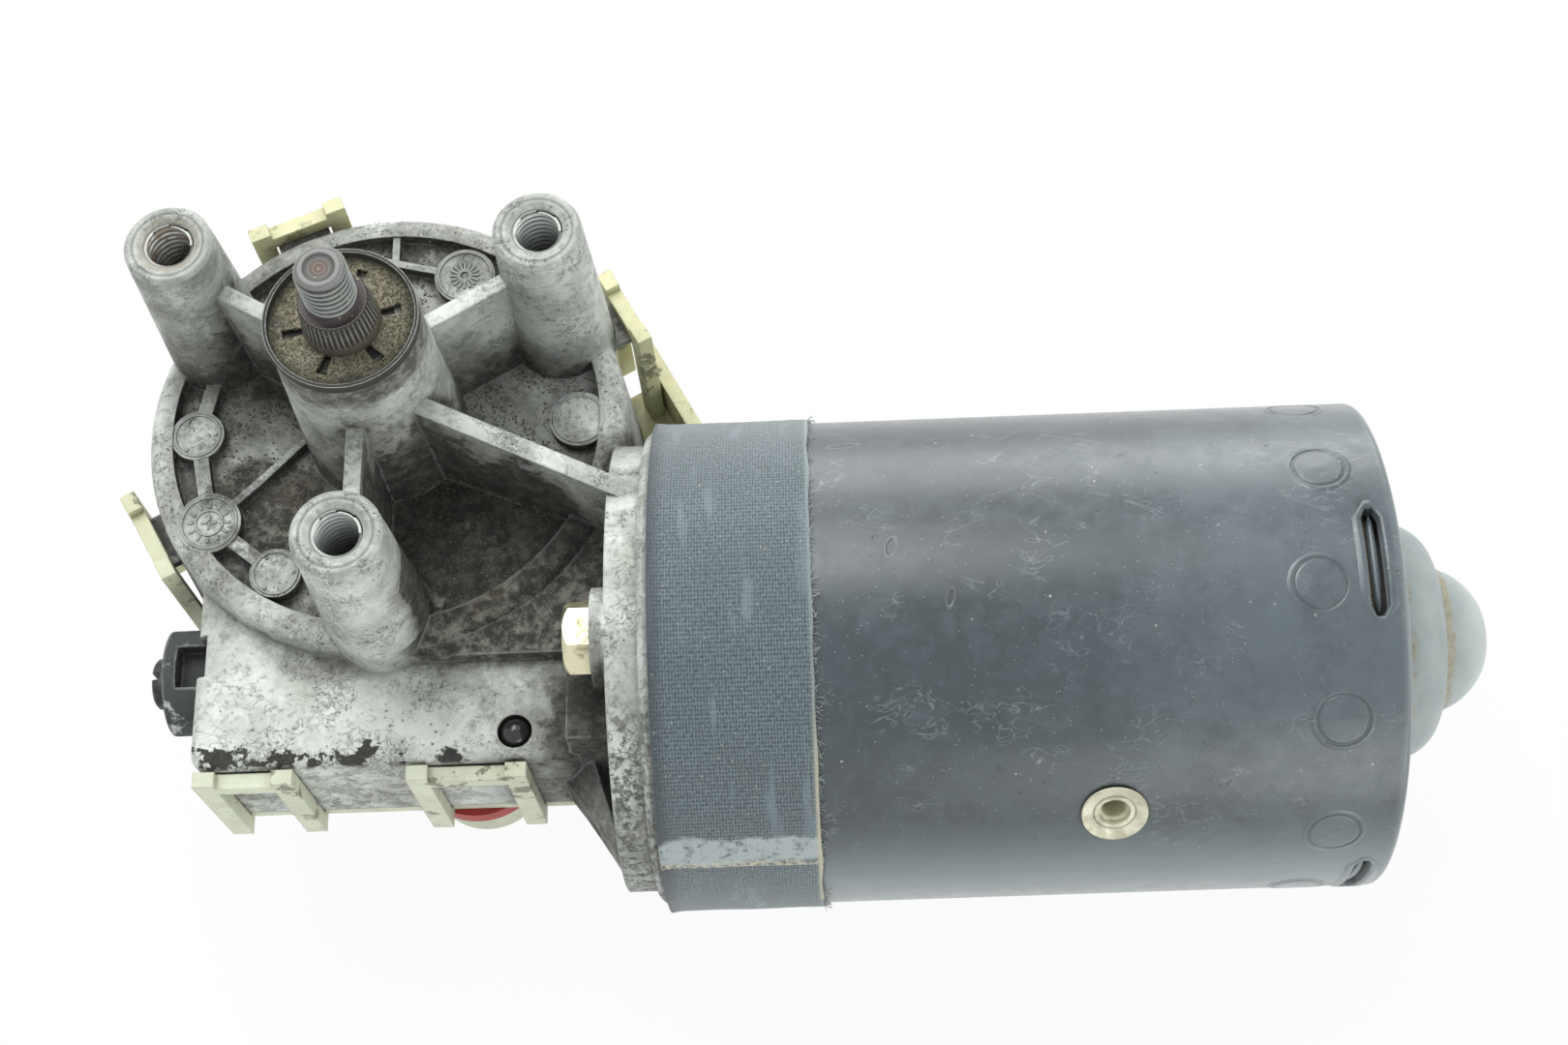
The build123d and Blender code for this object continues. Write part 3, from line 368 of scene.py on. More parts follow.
def grime_and_shade_level(net, crumble, plan, facing, swept):
    """How deep the grime and the painted shade are: most in corners, where the occlusion mask paints shade as
    well as grime, at the feet of walls and low down, with a crumbly border.
    """
    x, y, z = net.place[1:]
    # Occlusion in corners: painted shade as well as grime.
    corners = net.mask(crevice, Reach=13 * MM, Power=0.9)
    depth = net.span(z, -6, -33, 0.0, 0.16)
    level = corners * 0.8 + crumble * 1.5 + depth
    feet = net.span(z, -17, -32) * net.span(plan, 40, 36)
    level += feet * 0.1
    splash = zone(net, x, y, 17, -19, 7, 21) * net.span(z, -5, -24)
    level += splash * 0.34
    level -= swept * 0.3
    handled = net.span(y, -40, -45) * net.span(x, 16, 4)
    level -= handled * 0.34
    nook = net.span(x, 20, 31) * net.span(y, -38, -46) * net.span(x, 38.4, 37.2)
    level += nook * 0.46
    # Steep walls inside the drum keep their film and are darker still as painted shade on faces turned from
    # the light above; the side of the front post that faces the dirt gets the most, painted shade over its
    # black crust.
    steep = net.ramp(abs(facing[2]), 0.7, 0.3) * net.span(plan, 40, 34)
    level += steep * 0.35
    lee = net.ramp(facing[0], 0.15, 0.65) * zone(net, x, y, 5, -27, 7, 13) * net.span(z, -7, -17)
    level += lee * 0.85
    # Old oil has left the far rim and the skirt under the cap darker than the rest.
    far = net.span(y, 22, 31) * net.ramp(z, rim_z + 4 * MM, rim_z + 1 * MM)
    return level + far * 0.2


def drum_dirt(net, climb, crumble, plan, swept):
    """Road dirt on the floor of the drum, thickest between the front post and the shaft tower."""
    x, y, z = net.place[1:]
    inside = net.span(plan, 38, 36)
    low = net.span(z - floor_z - crumble * (16 * MM), 3.6, 0.6)
    thick = net.most(zone(net, x, y, 16, -17, 12, 30), zone(net, x, y, -24, 4, 9, 20) * 0.34,
                     zone(net, x, y, -19, -14, 6, 14) * 0.8)
    thick = net.ramp(thick * 0.9 + crumble * 1.1, 0.20, 0.56)
    dirt = inside * low * (0.12 + thick * 0.88) * (1.0 - swept * 0.75)
    # Between the front post and the flange it also covers the rim, up to the worm block.
    yard = net.span(x, 1, 7) * net.span(y, -41.4, -40.4) * net.span(y, -14, -22)
    yard *= net.ramp(z, rim_z + 1.2 * MM, rim_z + 0.4 * MM) * net.ramp(climb, 0.3, 0.42)
    return net.most(dirt, yard)


def block_patches(net, facing):
    """Black patches along the front of the worm block, above the clips."""
    where, x, y = net.place[:3]
    front = net.span(y, -49, -56) * net.span(x, 22, 12)
    patches = net.ramp(front * 0.22 + net.noise(where, 210.0, 7.0, 0.68), 0.73, 0.765)
    return patches * net.span(y, -40, -46) * net.ramp(facing[2], 0.1, 0.6, 0.25, 1.0)


def flange_belt(net):
    """Sooty, sandy belt round the motor flange."""
    where, x, y = net.place[:3]
    belt = net.span(x, 37.0, 38.6) * net.span(y, -52, -60)
    return belt * net.ramp(net.noise(where, 700.0, 6.0, 0.8), 0.47, 0.6)


def grime_cracks(net):
    where = net.place[0]
    cracks = net.ramp(abs(net.noise(where, 520.0, 5.0, 0.7, 1.2) - 0.5), 0.014, 0.003)
    return cracks * net.ramp(net.noise(where, 150.0, 3.0), 0.5, 0.6)


def dirt_colour(net, soil, crust, floor_dirt, belt):
    """Brown-black to sandy, rusty in places on the floor and near black where it is crusted."""
    tone = net.blend(net.ramp(soil, 0.43, 0.63), (0.014, 0.014, 0.012), (0.31, 0.305, 0.255))
    sandy = net.ramp(soil, 0.6, 0.72) * net.most(floor_dirt, belt)
    tone = net.blend(sandy * 0.6, tone, (0.3, 0.28, 0.2))
    rusty = net.ramp(net.noise(net.place[0], 95.0, 7.0, 0.72), 0.53, 0.62) * floor_dirt
    tone = net.blend(rusty * 0.4, tone, (0.105, 0.064, 0.032))
    return net.blend(crust * 0.66, tone, (0.014, 0.013, 0.011))


def post_faces(net, base, plan):
    """The faces of the posts are turned: a dull ring outside, a dark line, and a paler seat."""
    where, x, y, z = net.place
    nearest = post_distance(net, x, y)
    face = net.span(z, -1.2, -0.2) * net.span(plan, 20, 24)
    dull = face * net.ramp(net.noise(where, 380.0, 6.0, 0.75), 0.36, 0.6, 0.25, 0.75)
    base = net.blend(dull, base, (0.3, 0.315, 0.29))
    line = net.span(abs(nearest - 5.55 * MM), 0.35, 0.1)
    base = net.blend(line * face * 0.55, base, (0.1, 0.1, 0.09))
    stain = net.span(nearest, 5.2, 4.5) * net.span(x, -18, -22)
    return net.blend(stain * face * 0.35, base, (0.3, 0.22, 0.12))


def boss_paint(net):
    """Flakes of black paint that cling to the end boss."""
    x, y = net.place[1:3]
    flakes = net.mask(mottle, Scale=190.0, Spread=0.72, Edge=0.04, Detail=7.0, Warp=0.5)
    return net.span(x, -29.6, -30.6) * net.span(abs(y - motor_axis.y), 11, 9.4) * flakes


def cast_alloy_finish():
    """Die-cast alloy: pale where it is rubbed, grimy in corners with painted shade there and on steep walls,
    the seat under the cap painted black as shade, black dirt on the floor of the drum.
    """
    net, surface = new_finish("cast_alloy", Specular_IOR_Level=0.45)
    where, x, y, z = net.place
    plan = net.length(x, y)
    facing = net.split(net.node("ShaderNodeNewGeometry")["Normal"])
    climb = net.noise(where, 140.0, 9.0, 0.76)
    crumble = climb - 0.5
    swept = zone(net, x, y, 25, 9, 9, 22)
    level = grime_and_shade_level(net, crumble, plan, facing, swept)
    film, crust = net.ramp(level, 0.08, 0.60), net.ramp(level, 0.52, 0.74)
    floor_dirt = drum_dirt(net, climb, crumble, plan, swept)
    patches = block_patches(net, facing)
    flecks = net.mask(specks, Scale=1100.0, Share=0.25, Size=0.27) * net.ramp(climb, 0.46, 0.62)
    belt = flange_belt(net)
    collar = net.span(plan, 15, 12.6) * net.span(z + crumble * (9 * MM), -4.4, -1.6)
    # Painted shade: the seat under the spring cap, seen through its slots, is painted black.
    seat = net.span(plan, 11.6, 11.3) * net.span(z, -2, -1)
    dirt = net.most(film * 0.52, crust * 0.93, collar * 0.8, grime_cracks(net) * 0.75, floor_dirt * 0.93,
                    patches * 0.95, flecks * 0.60, belt * 0.75, seat * 0.97)
    soil = net.noise(where, 420.0, 7.0, 0.78)
    base = net.blend(dirt, bare_alloy(net), dirt_colour(net, soil, crust, floor_dirt, belt))
    base = net.blend(patches * 0.85, base, (0.03, 0.031, 0.029))
    base = post_faces(net, base, plan)
    paint = boss_paint(net)
    base = net.blend(paint, base, (0.085, 0.094, 0.089))
    # Corners of the metal and the faces of the posts are rubbed bright.
    edges = net.effect(worn_edge, Radius=0.7 * MM)
    bright = edges["Mask"] * net.ramp(climb, 0.4, 0.56) * 0.65
    surface["Base Color"] = net.blend(bright, base, (0.78, 0.82, 0.8))
    clean = net.math("SUBTRACT", 1.0, net.most(dirt, paint), clamp=True)
    surface["Metallic"] = clean * 0.15
    surface["Roughness"] = clean * -0.26 + 0.84
    skin = net.effect(grain, Scale=1300.0, Waves=240.0)["Height"]
    surface["Normal"] = bump(net, skin + soil * net.most(dirt, 0.05) * 5.0, 0.16 * MM, 0.9, edges["Normal"])


def cream_plastic_finish():
    """Old nylon: yellowed towards the back, under a thin film, with black oil beside the hooks."""
    net, surface = new_finish("cream_plastic", Roughness=0.5, Subsurface_Weight=0.1, Subsurface_Scale=2 * MM,
                              Subsurface_Radius=(1.0, 0.8, 0.5))
    where, y, z = net.place[0], *net.place[2:]
    tint, stained = (0.80, 0.85, 0.66), 0.34
    yellowed = net.mask(mottle, Scale=130.0, Spread=0.5, Edge=0.2, Detail=4.0)
    base = net.blend(yellowed, tint, shaded(tint, 0.86))
    base = net.blend(net.span(y, -45, 10) * 0.7, base, (0.82, 0.79, 0.43))
    # Corners darkened by an occlusion mask: painted shade as well as dirt.
    corners = net.mask(crevice, Reach=2.5 * MM, Power=1.0)
    patches = net.mask(mottle, Scale=350.0, Spread=0.45, Edge=0.15, Detail=5.0)
    dirt = net.math("MULTIPLY", corners * 1.4 + patches * 0.25, stained, clamp=True)
    film = net.mask(mottle, Scale=48.0, Spread=0.42, Edge=0.16, Detail=9.0, Warp=0.5)
    base = net.blend(film * (stained * 0.8), base, (0.4, 0.38, 0.25))
    # Black oil has run down beside the legs of the hooks.
    runs = net.ramp(net.noise(where, 170.0, 7.0, 0.72), 0.555, 0.6) * net.span(abs(z + 46 * MM), 20, 8)
    base = net.blend(runs * 0.75, base, (0.09, 0.075, 0.035))
    surface["Base Color"] = net.blend(dirt, base, (0.16, 0.13, 0.05))
    edges = net.effect(worn_edge, Radius=0.35 * MM)
    skin = net.effect(grain, Scale=1200.0, Waves=260.0)["Height"]
    surface["Normal"] = bump(net, skin, 0.05 * MM, 0.5, edges["Normal"])


def sleeve_finish():
    """Satin rubber with fine scuffs, dust specks and greyed ends, with painted shade in its grooves and a
    painted reflection and highlight on its lower front and free edge.
    """
    net, surface = new_finish("sleeve_rubber", Specular_IOR_Level=0.8, Sheen_Weight=0.6,
                              Sheen_Roughness=0.35)
    where, x, y, z = net.place
    haze = net.mask(mottle, Scale=34.0, Spread=0.5, Edge=0.3, Detail=8.0)
    base = net.blend(haze, (0.016, 0.028, 0.036), (0.042, 0.062, 0.074))
    clouds = net.mask(mottle, Scale=260.0, Spread=0.35, Edge=0.2, Detail=8.0, Warp=0.5)
    base = net.blend(clouds * 0.3, base, (0.1, 0.135, 0.148))
    scuffs = net.mask(scratches, Scale=300.0, Stretch=0.08, Width=0.014)
    base = net.blend(scuffs * 0.42, base, (0.27, 0.31, 0.32))
    fine = net.mask(specks, Scale=2000.0, Share=0.05, Size=0.28)
    base = net.blend(fine * 0.45, base, (0.34, 0.36, 0.35))
    dust = net.mask(specks, Scale=850.0, Share=0.012, Size=0.2)
    base = net.blend(dust * 0.7, base, (0.5, 0.5, 0.42))
    film = net.span(x, 88, 140) * net.ramp(net.noise(where, 30.0, 9.0, 0.75), 0.36, 0.6)
    base = net.blend(film * 0.45, base, (0.15, 0.195, 0.21))
    # Painted reflection: the lower front of the sleeve is painted paler grey, standing in for the light it
    # catches from the front.
    lean = (y - motor_axis.y) * 0.92 + (z - motor_axis.z) * 0.39
    base = net.blend(net.span(lean, -21, -36) * 0.85, base, (0.22, 0.27, 0.275))
    # Painted highlight: the free end is painted pale along its rounded edge.
    end = net.span(x, 155.6, 157.3)
    base = net.blend(end * 0.55, base, (0.24, 0.28, 0.29))
    # Painted shade: the grooves of the moulded discs and slot lips and the corners of the sleeve are darkened
    # to near black by a short-reach occlusion mask.
    marks = net.mask(crevice, Reach=0.7 * MM, Power=0.8)
    base = net.blend(net.math("MULTIPLY", marks, 2.2, clamp=True), base, (0.008, 0.01, 0.012))
    # Three gouges near the tape, each a few millimetres long.
    turn = net.math("ARCTAN2", z - motor_axis.z, y - motor_axis.y)
    nicks = net.mask(mottle, Scale=420.0, Spread=0.02, Edge=0.02, Detail=3.0)
    for place_x, place_turn, length, width in (
            (75.0, 51.0, 2.2, 0.8), (81.5, 84.5, 0.8, 1.6), (90.0, 97.0, 0.6, 1.5)):
        ahead = (x - place_x * MM) / (length * MM)
        aside = (turn - math.radians(place_turn)) * sleeve_radius / (width * MM)
        ahead += aside * 0.5
        reach = ahead * ahead + aside * aside
        nicks = net.most(nicks, net.ramp(reach, 0.9, 0.5))
        base = net.blend(net.ramp(abs(reach - 1.1), 0.5, 0.1) * 0.3, base, (0.22, 0.27, 0.29))
    base = net.blend(nicks * 0.6, base, (0.02, 0.024, 0.026))
    surface["Base Color"] = base
    surface["Roughness"] = 0.3 + clouds * 0.16
    skin = net.effect(grain, Scale=1800.0, Waves=90.0)["Height"]
    surface["Normal"] = bump(net, skin - nicks * 2.0, 0.05 * MM, 0.6)


def can_finish():
    """Satin paint, dusty on the shoulder and the dome, with sand in the corner between them, and a painted
    highlight on the dome and its tip.
    """
    net, surface = new_finish("can_paint", Specular_IOR_Level=0.5)
    where, x, y, z = net.place
    base = net.blend(net.mask(mottle, Scale=90.0, Spread=0.5, Edge=0.2), (0.075, 0.09, 0.098),
                     (0.11, 0.125, 0.13))
    dusty = net.span(x, 157, 161)
    # Dust film, painted brighter than dust alone as a painted highlight, and paler still at the tip where the
    # dome faces the light at the right.
    film = net.blend(net.mask(mottle, Scale=120.0, Spread=0.5, Edge=0.3, Detail=6.0), (0.29, 0.345, 0.345),
                     (0.45, 0.5, 0.49))
    tip = net.span(x, 170, 178)
    film = net.blend(tip * 0.75, film, (0.6, 0.67, 0.65))
    base = net.blend(dusty * 0.95, base, film)
    out = net.length(y - motor_axis.y, z - motor_axis.z)
    crook = net.span(abs(x - 169.6 * MM), 2.4, 0.5) * net.span(out, 16, 13)
    edge = net.span(x, 167, 160)
    settled = net.most(crook, edge * 0.8)
    settled = settled * 0.32 + net.noise(where, 210.0, 8.0, 0.75)
    sand = net.blend(net.noise(where, 900.0, 4.0, 0.7), (0.1, 0.088, 0.062), (0.58, 0.53, 0.38))
    base = net.blend(net.ramp(settled, 0.64, 0.76) * 0.85, base, sand)
    grit = net.mask(specks, Scale=1400.0, Share=0.12, Size=0.25)
    base = net.blend(grit * dusty * 0.35, base, (0.45, 0.44, 0.36))
    surface["Base Color"] = base
    surface["Roughness"] = net.span(x, 150, 165, 0.42, 0.46)
    skin = net.effect(grain, Scale=1300.0, Waves=120.0)["Height"]
    surface["Normal"] = bump(net, skin, 0.06 * MM, 0.6)


def metal_finish(name, tone, rust, amount, rough, metallic):
    """Machined or stamped metal with patches of rust or grime."""
    net, surface = new_finish(name)
    patches = net.mask(mottle, Scale=300.0, Spread=amount, Edge=0.14, Detail=6.0, Warp=0.4)
    corners = net.mask(crevice, Reach=1.5 * MM, Power=1.0)
    worn = net.math("MAXIMUM", patches, corners * (amount * 2), clamp=True)
    tint = net.blend(net.mask(mottle, Scale=80.0, Spread=0.5, Edge=0.3), tone, shaded(tone, 0.82))
    surface["Base Color"] = net.blend(worn, tint, rust)
    surface["Metallic"] = (1.0 - worn) * metallic
    surface["Roughness"] = rough + worn * 0.35
    edges = net.effect(worn_edge, Radius=0.2 * MM)
    skin = net.effect(grain, Scale=2200.0, Waves=400.0)["Height"]
    surface["Normal"] = bump(net, skin, 0.03 * MM, 0.5, edges["Normal"])


def tape_finish():
    """Cloth tape: fine blue-grey nap with light threads, rubbed pale in streaks round the joint."""
    net, surface = new_finish("cloth_tape", Roughness=0.72, Sheen_Weight=0.5, Sheen_Roughness=0.5)
    where, x, y, z = net.place
    turn = net.math("ARCTAN2", z - motor_axis.z, y - motor_axis.y)
    run = turn * tape_radius
    flat = net.vector(x, run * 0.55, 0.0)
    weft = net.math("SINE", x * 13500.0)
    warp = net.math("SINE", run * 9500.0)
    cloth = (weft + warp) * 0.075
    nap = net.noise(flat, 2600.0, 3.0, 0.75) + cloth
    base = net.blend(net.ramp(nap, 0.3, 0.7), (0.036, 0.055, 0.066), (0.205, 0.262, 0.28))
    tone = net.mask(mottle, Scale=90.0, Spread=0.5, Edge=0.3, Detail=6.0)
    base = net.blend(tone * 0.45, base, (0.075, 0.098, 0.105))
    slow = net.vector(x, run * 0.16, 0.4)
    streaks = net.ramp(net.noise(slow, 330.0, 3.0, 0.5), 0.56, 0.72)
    base = net.blend(streaks * 0.45, base, (0.25, 0.32, 0.35))
    folds = net.ramp(x, tape_low.x + 3.0 * MM, tape_low.x + 0.4 * MM)
    base = net.blend(folds * 0.65, base, (0.03, 0.042, 0.05))
    # Sand clings to the loose end, and the lap above it is rubbed pale.
    degrees_round = turn * (180 / math.pi)
    near_end = abs(degrees_round - 159.6)
    sand = net.ramp(near_end, 1.9, 0.6) * net.ramp(net.noise(where, 900.0, 5.0, 0.8), 0.44, 0.56)
    ragged = degrees_round + (net.noise(where, 160.0, 6.0, 0.7) - 0.5) * 9.0
    rubbed = net.ramp(abs(ragged - 155.0), 4.6, 3.0) * net.ramp(net.noise(where, 520.0, 6.0, 0.8), 0.34,
                                                                0.5)
    base = net.blend(rubbed * 0.85, base, (0.5, 0.57, 0.57))
    base = net.blend(sand * 0.85, base, (0.68, 0.63, 0.42))
    lint = net.mask(specks, Scale=1500.0, Share=0.035, Size=0.24)
    base = net.blend(lint * 0.6, base, (0.45, 0.46, 0.4))
    edge = net.ramp(x, tape_high.x - 0.9 * MM, tape_high.x - 0.1 * MM)
    base = net.blend(edge * 0.6, base, (0.36, 0.43, 0.43))
    frayed = edge * net.ramp(degrees_round, 110.0, 140.0)
    base = net.blend(frayed * 0.7, base, (0.62, 0.58, 0.4))
    surface["Base Color"] = base
    surface["Normal"] = bump(net, nap, 0.1 * MM, 0.8)


def shaft_finish():
    """Dark worn steel: painted highlights on the crests and edges, painted shade in the valleys, brown rust
    low on the cone and on the shoulder.
    """
    net, surface = new_finish("worn_shaft")
    where, x, y, z = net.place
    blotch = net.mask(mottle, Scale=500.0, Spread=0.5, Edge=0.2, Detail=6.0)
    base = net.blend(blotch, (0.07, 0.074, 0.068), (0.165, 0.172, 0.16))
    low = net.span(z + net.noise(where, 500.0, 3.0) * (2 * MM), 8.3, 5.6)
    base = net.blend(low * 0.75, base, (0.13, 0.1, 0.076))
    shoulder = net.span(z, 9.9, 10.15) * net.span(z, 11.6, 11.2)
    base = net.blend(shoulder * 0.9, base, (0.035, 0.026, 0.026))
    rust = net.mask(mottle, Scale=900.0, Spread=0.12, Edge=0.05, Detail=5.0)
    base = net.blend(rust * 0.35, base, (0.16, 0.055, 0.028))
    # Painted highlight on the ridges of the thread and painted shade in the valleys between them.
    plan = net.length(x, y)
    on_stud = net.span(z, 11.3, 11.6)
    ridge = net.span(plan, 3.72, 3.97) * on_stud
    valley = net.span(plan, 3.72, 3.45) * on_stud
    base = net.blend(valley * 0.85, base, (0.03, 0.028, 0.025))
    base = net.blend(ridge * 0.7, base, (0.5, 0.54, 0.51))
    # Painted shade in the grooves of the serrated cone and a painted highlight on its crowns, low down.
    cone_radius = net.ramp(z, 3.5 * MM, 10.3 * MM, 6.1 * MM, 5.35 * MM, kind="LINEAR")
    drop = cone_radius - plan
    on_cone = net.span(z, 4.6, 5.2) * net.span(z, 10.25, 10.1)
    groove = net.span(drop, 0.04, 0.16) * on_cone
    crown = net.span(drop, 0.06, 0.01) * on_cone
    base = net.blend(groove * 0.92, base, (0.036, 0.028, 0.022))
    base = net.blend(crown * net.span(z, 4.6, 8.0) * 0.8, base, (0.56, 0.54, 0.5))
    top = net.span(z, 19.72, 19.6)
    face = net.span(z, 19.45, 19.5) * top
    rings = net.ramp(net.math("SINE", plan * 9000.0), -0.4, 0.8)
    worn_face = net.blend(net.span(plan, 1.9, 0.7), (0.085, 0.09, 0.083), (0.1, 0.06, 0.04))
    worn_face = net.blend(rings * 0.35, worn_face, (0.22, 0.21, 0.2))
    base = net.blend(face * 0.9, base, worn_face)
    # Painted highlight: a pale ring round the top of the stud.
    tip_ring = net.span(z, 19.3, 19.5) * net.span(plan, 2.2, 2.6)
    base = net.blend(tip_ring * 0.7, base, (0.3, 0.3, 0.29))
    edges = net.effect(worn_edge, Radius=0.18 * MM)
    # Painted highlight along every sharp edge and crest of the shaft.
    crests = edges["Mask"] * 0.75
    grit = net.mask(specks, Scale=2200.0, Share=0.05, Size=0.3)
    base = net.blend(crests, base, (0.52, 0.52, 0.5))
    base = net.blend(grit * 0.8, base, (0.45, 0.38, 0.2))
    surface["Base Color"] = base
    surface["Metallic"] = crests * 0.6 + 0.2
    surface["Roughness"] = 0.52 - crests * 0.2
    skin = net.noise(where, 1500.0, 5.0, 0.7)
    surface["Normal"] = bump(net, skin, 0.05 * MM, 0.5, edges["Normal"])


def thread_finish():
    """Cut threads: painted highlights on the crests and painted shade in the valleys and deep in the bores,
    and a trace of rust in the left post.
    """
    net, surface = new_finish("thread_alloy", Roughness=0.35)
    where, x, y, z = net.place
    nearest = post_distance(net, x, y)
    # Painted highlight on the crests and painted shade in the valleys of the thread.
    crest = net.ramp(nearest, post_bore - 0.15 * MM, post_bore - 0.50 * MM)
    base = net.blend(crest, (0.14, 0.14, 0.125), (0.74, 0.78, 0.75))
    rust = net.span(x, -20, -24) * net.ramp(net.noise(where, 500.0, 4.0), 0.42, 0.6)
    base = net.blend(rust * 0.7, base, (0.24, 0.15, 0.07))
    mouth = net.span(z, -1.5, -0.5)
    base = net.blend(mouth * 0.8, base, (0.2, 0.205, 0.19))
    # Painted shade deeper down the bores.
    deep = net.span(z, -5, -12)
    base = net.blend(deep * 0.6, base, (0.1, 0.105, 0.1))
    surface["Base Color"] = base
    surface["Metallic"] = crest * 0.5
    surface["Normal"] = bump(net, net.noise(where, 1500.0, 3.0), 0.03 * MM, 0.4)


def crumb_finish():
    """Sandy dirt: each crumb its own tone, from pale quartz to dark brown."""
    net, surface = new_finish("dirt_crumb", Roughness=0.8)
    where = net.place[0]
    tone = net.noise(where, 3000.0, 2.0, 0.6)
    base = net.blend(net.ramp(tone, 0.4, 0.62), (0.045, 0.042, 0.032), (0.27, 0.25, 0.175))
    surface["Base Color"] = net.blend(net.ramp(tone, 0.62, 0.72), base, (0.66, 0.65, 0.52))


def cap_finish():
    """Spring steel cap under packed golden-brown sand, its rim rubbed bright and painted brighter still as a
    painted highlight.
    """
    net, surface = new_finish("cap_steel")
    where, x, y, z = net.place
    sand = net.noise(where, 1500.0, 6.0, 0.8)
    base = net.blend(net.ramp(sand, 0.36, 0.62), (0.03, 0.027, 0.018), (0.42, 0.385, 0.26))
    pale = net.mask(mottle, Scale=260.0, Spread=0.3, Edge=0.12, Detail=8.0)
    base = net.blend(pale * 0.55, base, (0.4, 0.4, 0.34))
    plan = net.length(x, y)
    dark_ring = net.span(plan + (net.noise(where, 300.0, 6.0, 0.7) - 0.5) * (7 * MM), 9.0, 10.8)
    base = net.blend(dark_ring * 0.75, base, (0.026, 0.027, 0.019))
    wall = net.span(plan, 11.1, 11.3)
    edges = net.effect(worn_edge, Radius=0.22 * MM)
    # Painted highlight along the top edge of the rim, over real rubbing.
    lip = edges["Mask"] * net.ramp(z, cap_high.z - 0.22 * MM, cap_high.z - 0.08 * MM)
    base = net.blend(wall, base, (0.055, 0.058, 0.048))
    base = net.blend(lip, base, (0.8, 0.83, 0.8))
    surface["Base Color"] = base
    surface["Metallic"] = lip * 0.5
    surface["Roughness"] = 0.8 - lip * 0.4
    surface["Normal"] = bump(net, sand, 0.35 * MM, 1.0, edges["Normal"])


def plain_finish(name, tone, rough):
    """Clean inner piece: one tone with a slow change and a fine skin."""
    net, surface = new_finish(name, Roughness=rough)
    shade = net.mask(mottle, Scale=200.0, Spread=0.5, Edge=0.25, Detail=4.0)
    surface["Base Color"] = net.blend(shade, tone, shaded(tone, 0.8))
    skin = net.effect(grain, Scale=1800.0, Waves=300.0)["Height"]
    surface["Normal"] = bump(net, skin, 0.03 * MM, 0.5)


def make_finishes():
    """Every material of the object."""
    cast_alloy_finish()
    cream_plastic_finish()
    can_finish()
    sleeve_finish()
    tape_finish()
    shaft_finish()
    crumb_finish()
    cap_finish()
    thread_finish()
    # Plain ones: tone and roughness.
    for name, tone, rough in (
            ("gasket_rubber", (0.03, 0.03, 0.03), 0.7), ("red_seal", (0.42, 0.035, 0.03), 0.5),
            ("white_plastic", (0.72, 0.70, 0.64), 0.4), ("ferrite", (0.07, 0.07, 0.075), 0.6),
            ("brown_board", (0.22, 0.12, 0.06), 0.5), ("carbon", (0.05, 0.05, 0.05), 0.6),
            # dark_ball: the steel seal ball gets a near-black glossy tone, a painted reflection of the dark
            # hole it sits in.
            ("blue_resin", (0.05, 0.14, 0.36), 0.3), ("dark_ball", (0.030, 0.032, 0.033), 0.12),
            ("lint", (0.42, 0.48, 0.47), 0.8)):
        plain_finish(name, tone, rough)
    # Bare metals: tone, colour of the rust or grime and how much of it, roughness and how metallic.
    brown = (0.10, 0.06, 0.035)
    for name, tone, rust, amount, rough, metallic in (
            ("contact_brass", (0.80, 0.66, 0.36), brown, 0.15, 0.4, 0.9),
            ("sintered_bronze", (0.42, 0.28, 0.15), brown, 0.3, 0.55, 0.9),
            ("steel", (0.56, 0.55, 0.53), brown, 0.1, 0.3, 0.9),
            ("rusty_steel", (0.26, 0.25, 0.24), (0.075, 0.040, 0.028), 0.55, 0.42, 0.9),
            ("spring_steel", (0.26, 0.25, 0.20), (0.11, 0.10, 0.065), 0.75, 0.5, 0.9),
            ("lamination_steel", (0.30, 0.30, 0.31), brown, 0.2, 0.5, 0.9),
            ("copper_wire", (0.60, 0.22, 0.09), brown, 0.1, 0.35, 0.9),
            ("copper", (0.75, 0.36, 0.20), brown, 0.1, 0.35, 0.9),
            ("black_steel", (0.035, 0.035, 0.034), (0.25, 0.25, 0.24), 0.25, 0.5, 0.3),
            ("zinc_steel", (0.76, 0.74, 0.52), (0.30, 0.24, 0.10), 0.2, 0.3, 0.9),
            ("dull_brass", (0.90, 0.90, 0.70), (0.60, 0.57, 0.42), 0.5, 0.5, 0.3)):
        metal_finish(name, tone, rust, amount, rough, metallic)


make_finishes()
node_finishes = {"star_lock_cap": "cap_steel", "sleeve_rivet": "dull_brass", "seal_ball": "dark_ball"}

for part in frame["record"]["subparts"]:
    node = frame["nodes"][part["node"]]
    node.data.materials.clear()
    node.data.materials.append(finishes[node_finishes.get(part["node"], part["material_slot"])])


# ---- Mesh and geometry-tree helpers ---------------------------------------------------------
def settle(piece, body, replaced=()):
    """Give a finished piece its body and the nodes that it stands for."""
    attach(piece, body)
    if replaced:
        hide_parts(*replaced)


def placed(mesh, crease):
    """Object for a mesh, smooth but for edges sharper than crease."""
    mesh.shade_smooth()
    mesh.set_sharp_from_angle(angle=math.radians(crease))
    piece = bpy.data.objects.new(mesh.name, mesh)
    bpy.context.collection.objects.link(piece)
    return piece


def piece_from(name, points, faces, finish, crease=35):
    mesh = bpy.data.meshes.new(name)
    mesh.from_pydata([tuple(point) for point in points], [], faces)
    mesh.materials.append(finishes[finish])
    return placed(mesh, crease)


def on_motor(x, reach, angle):
    """Point at a distance and an angle round the motor's axis."""
    return x, motor_axis.y + reach * math.cos(angle), motor_axis.z + reach * math.sin(angle)


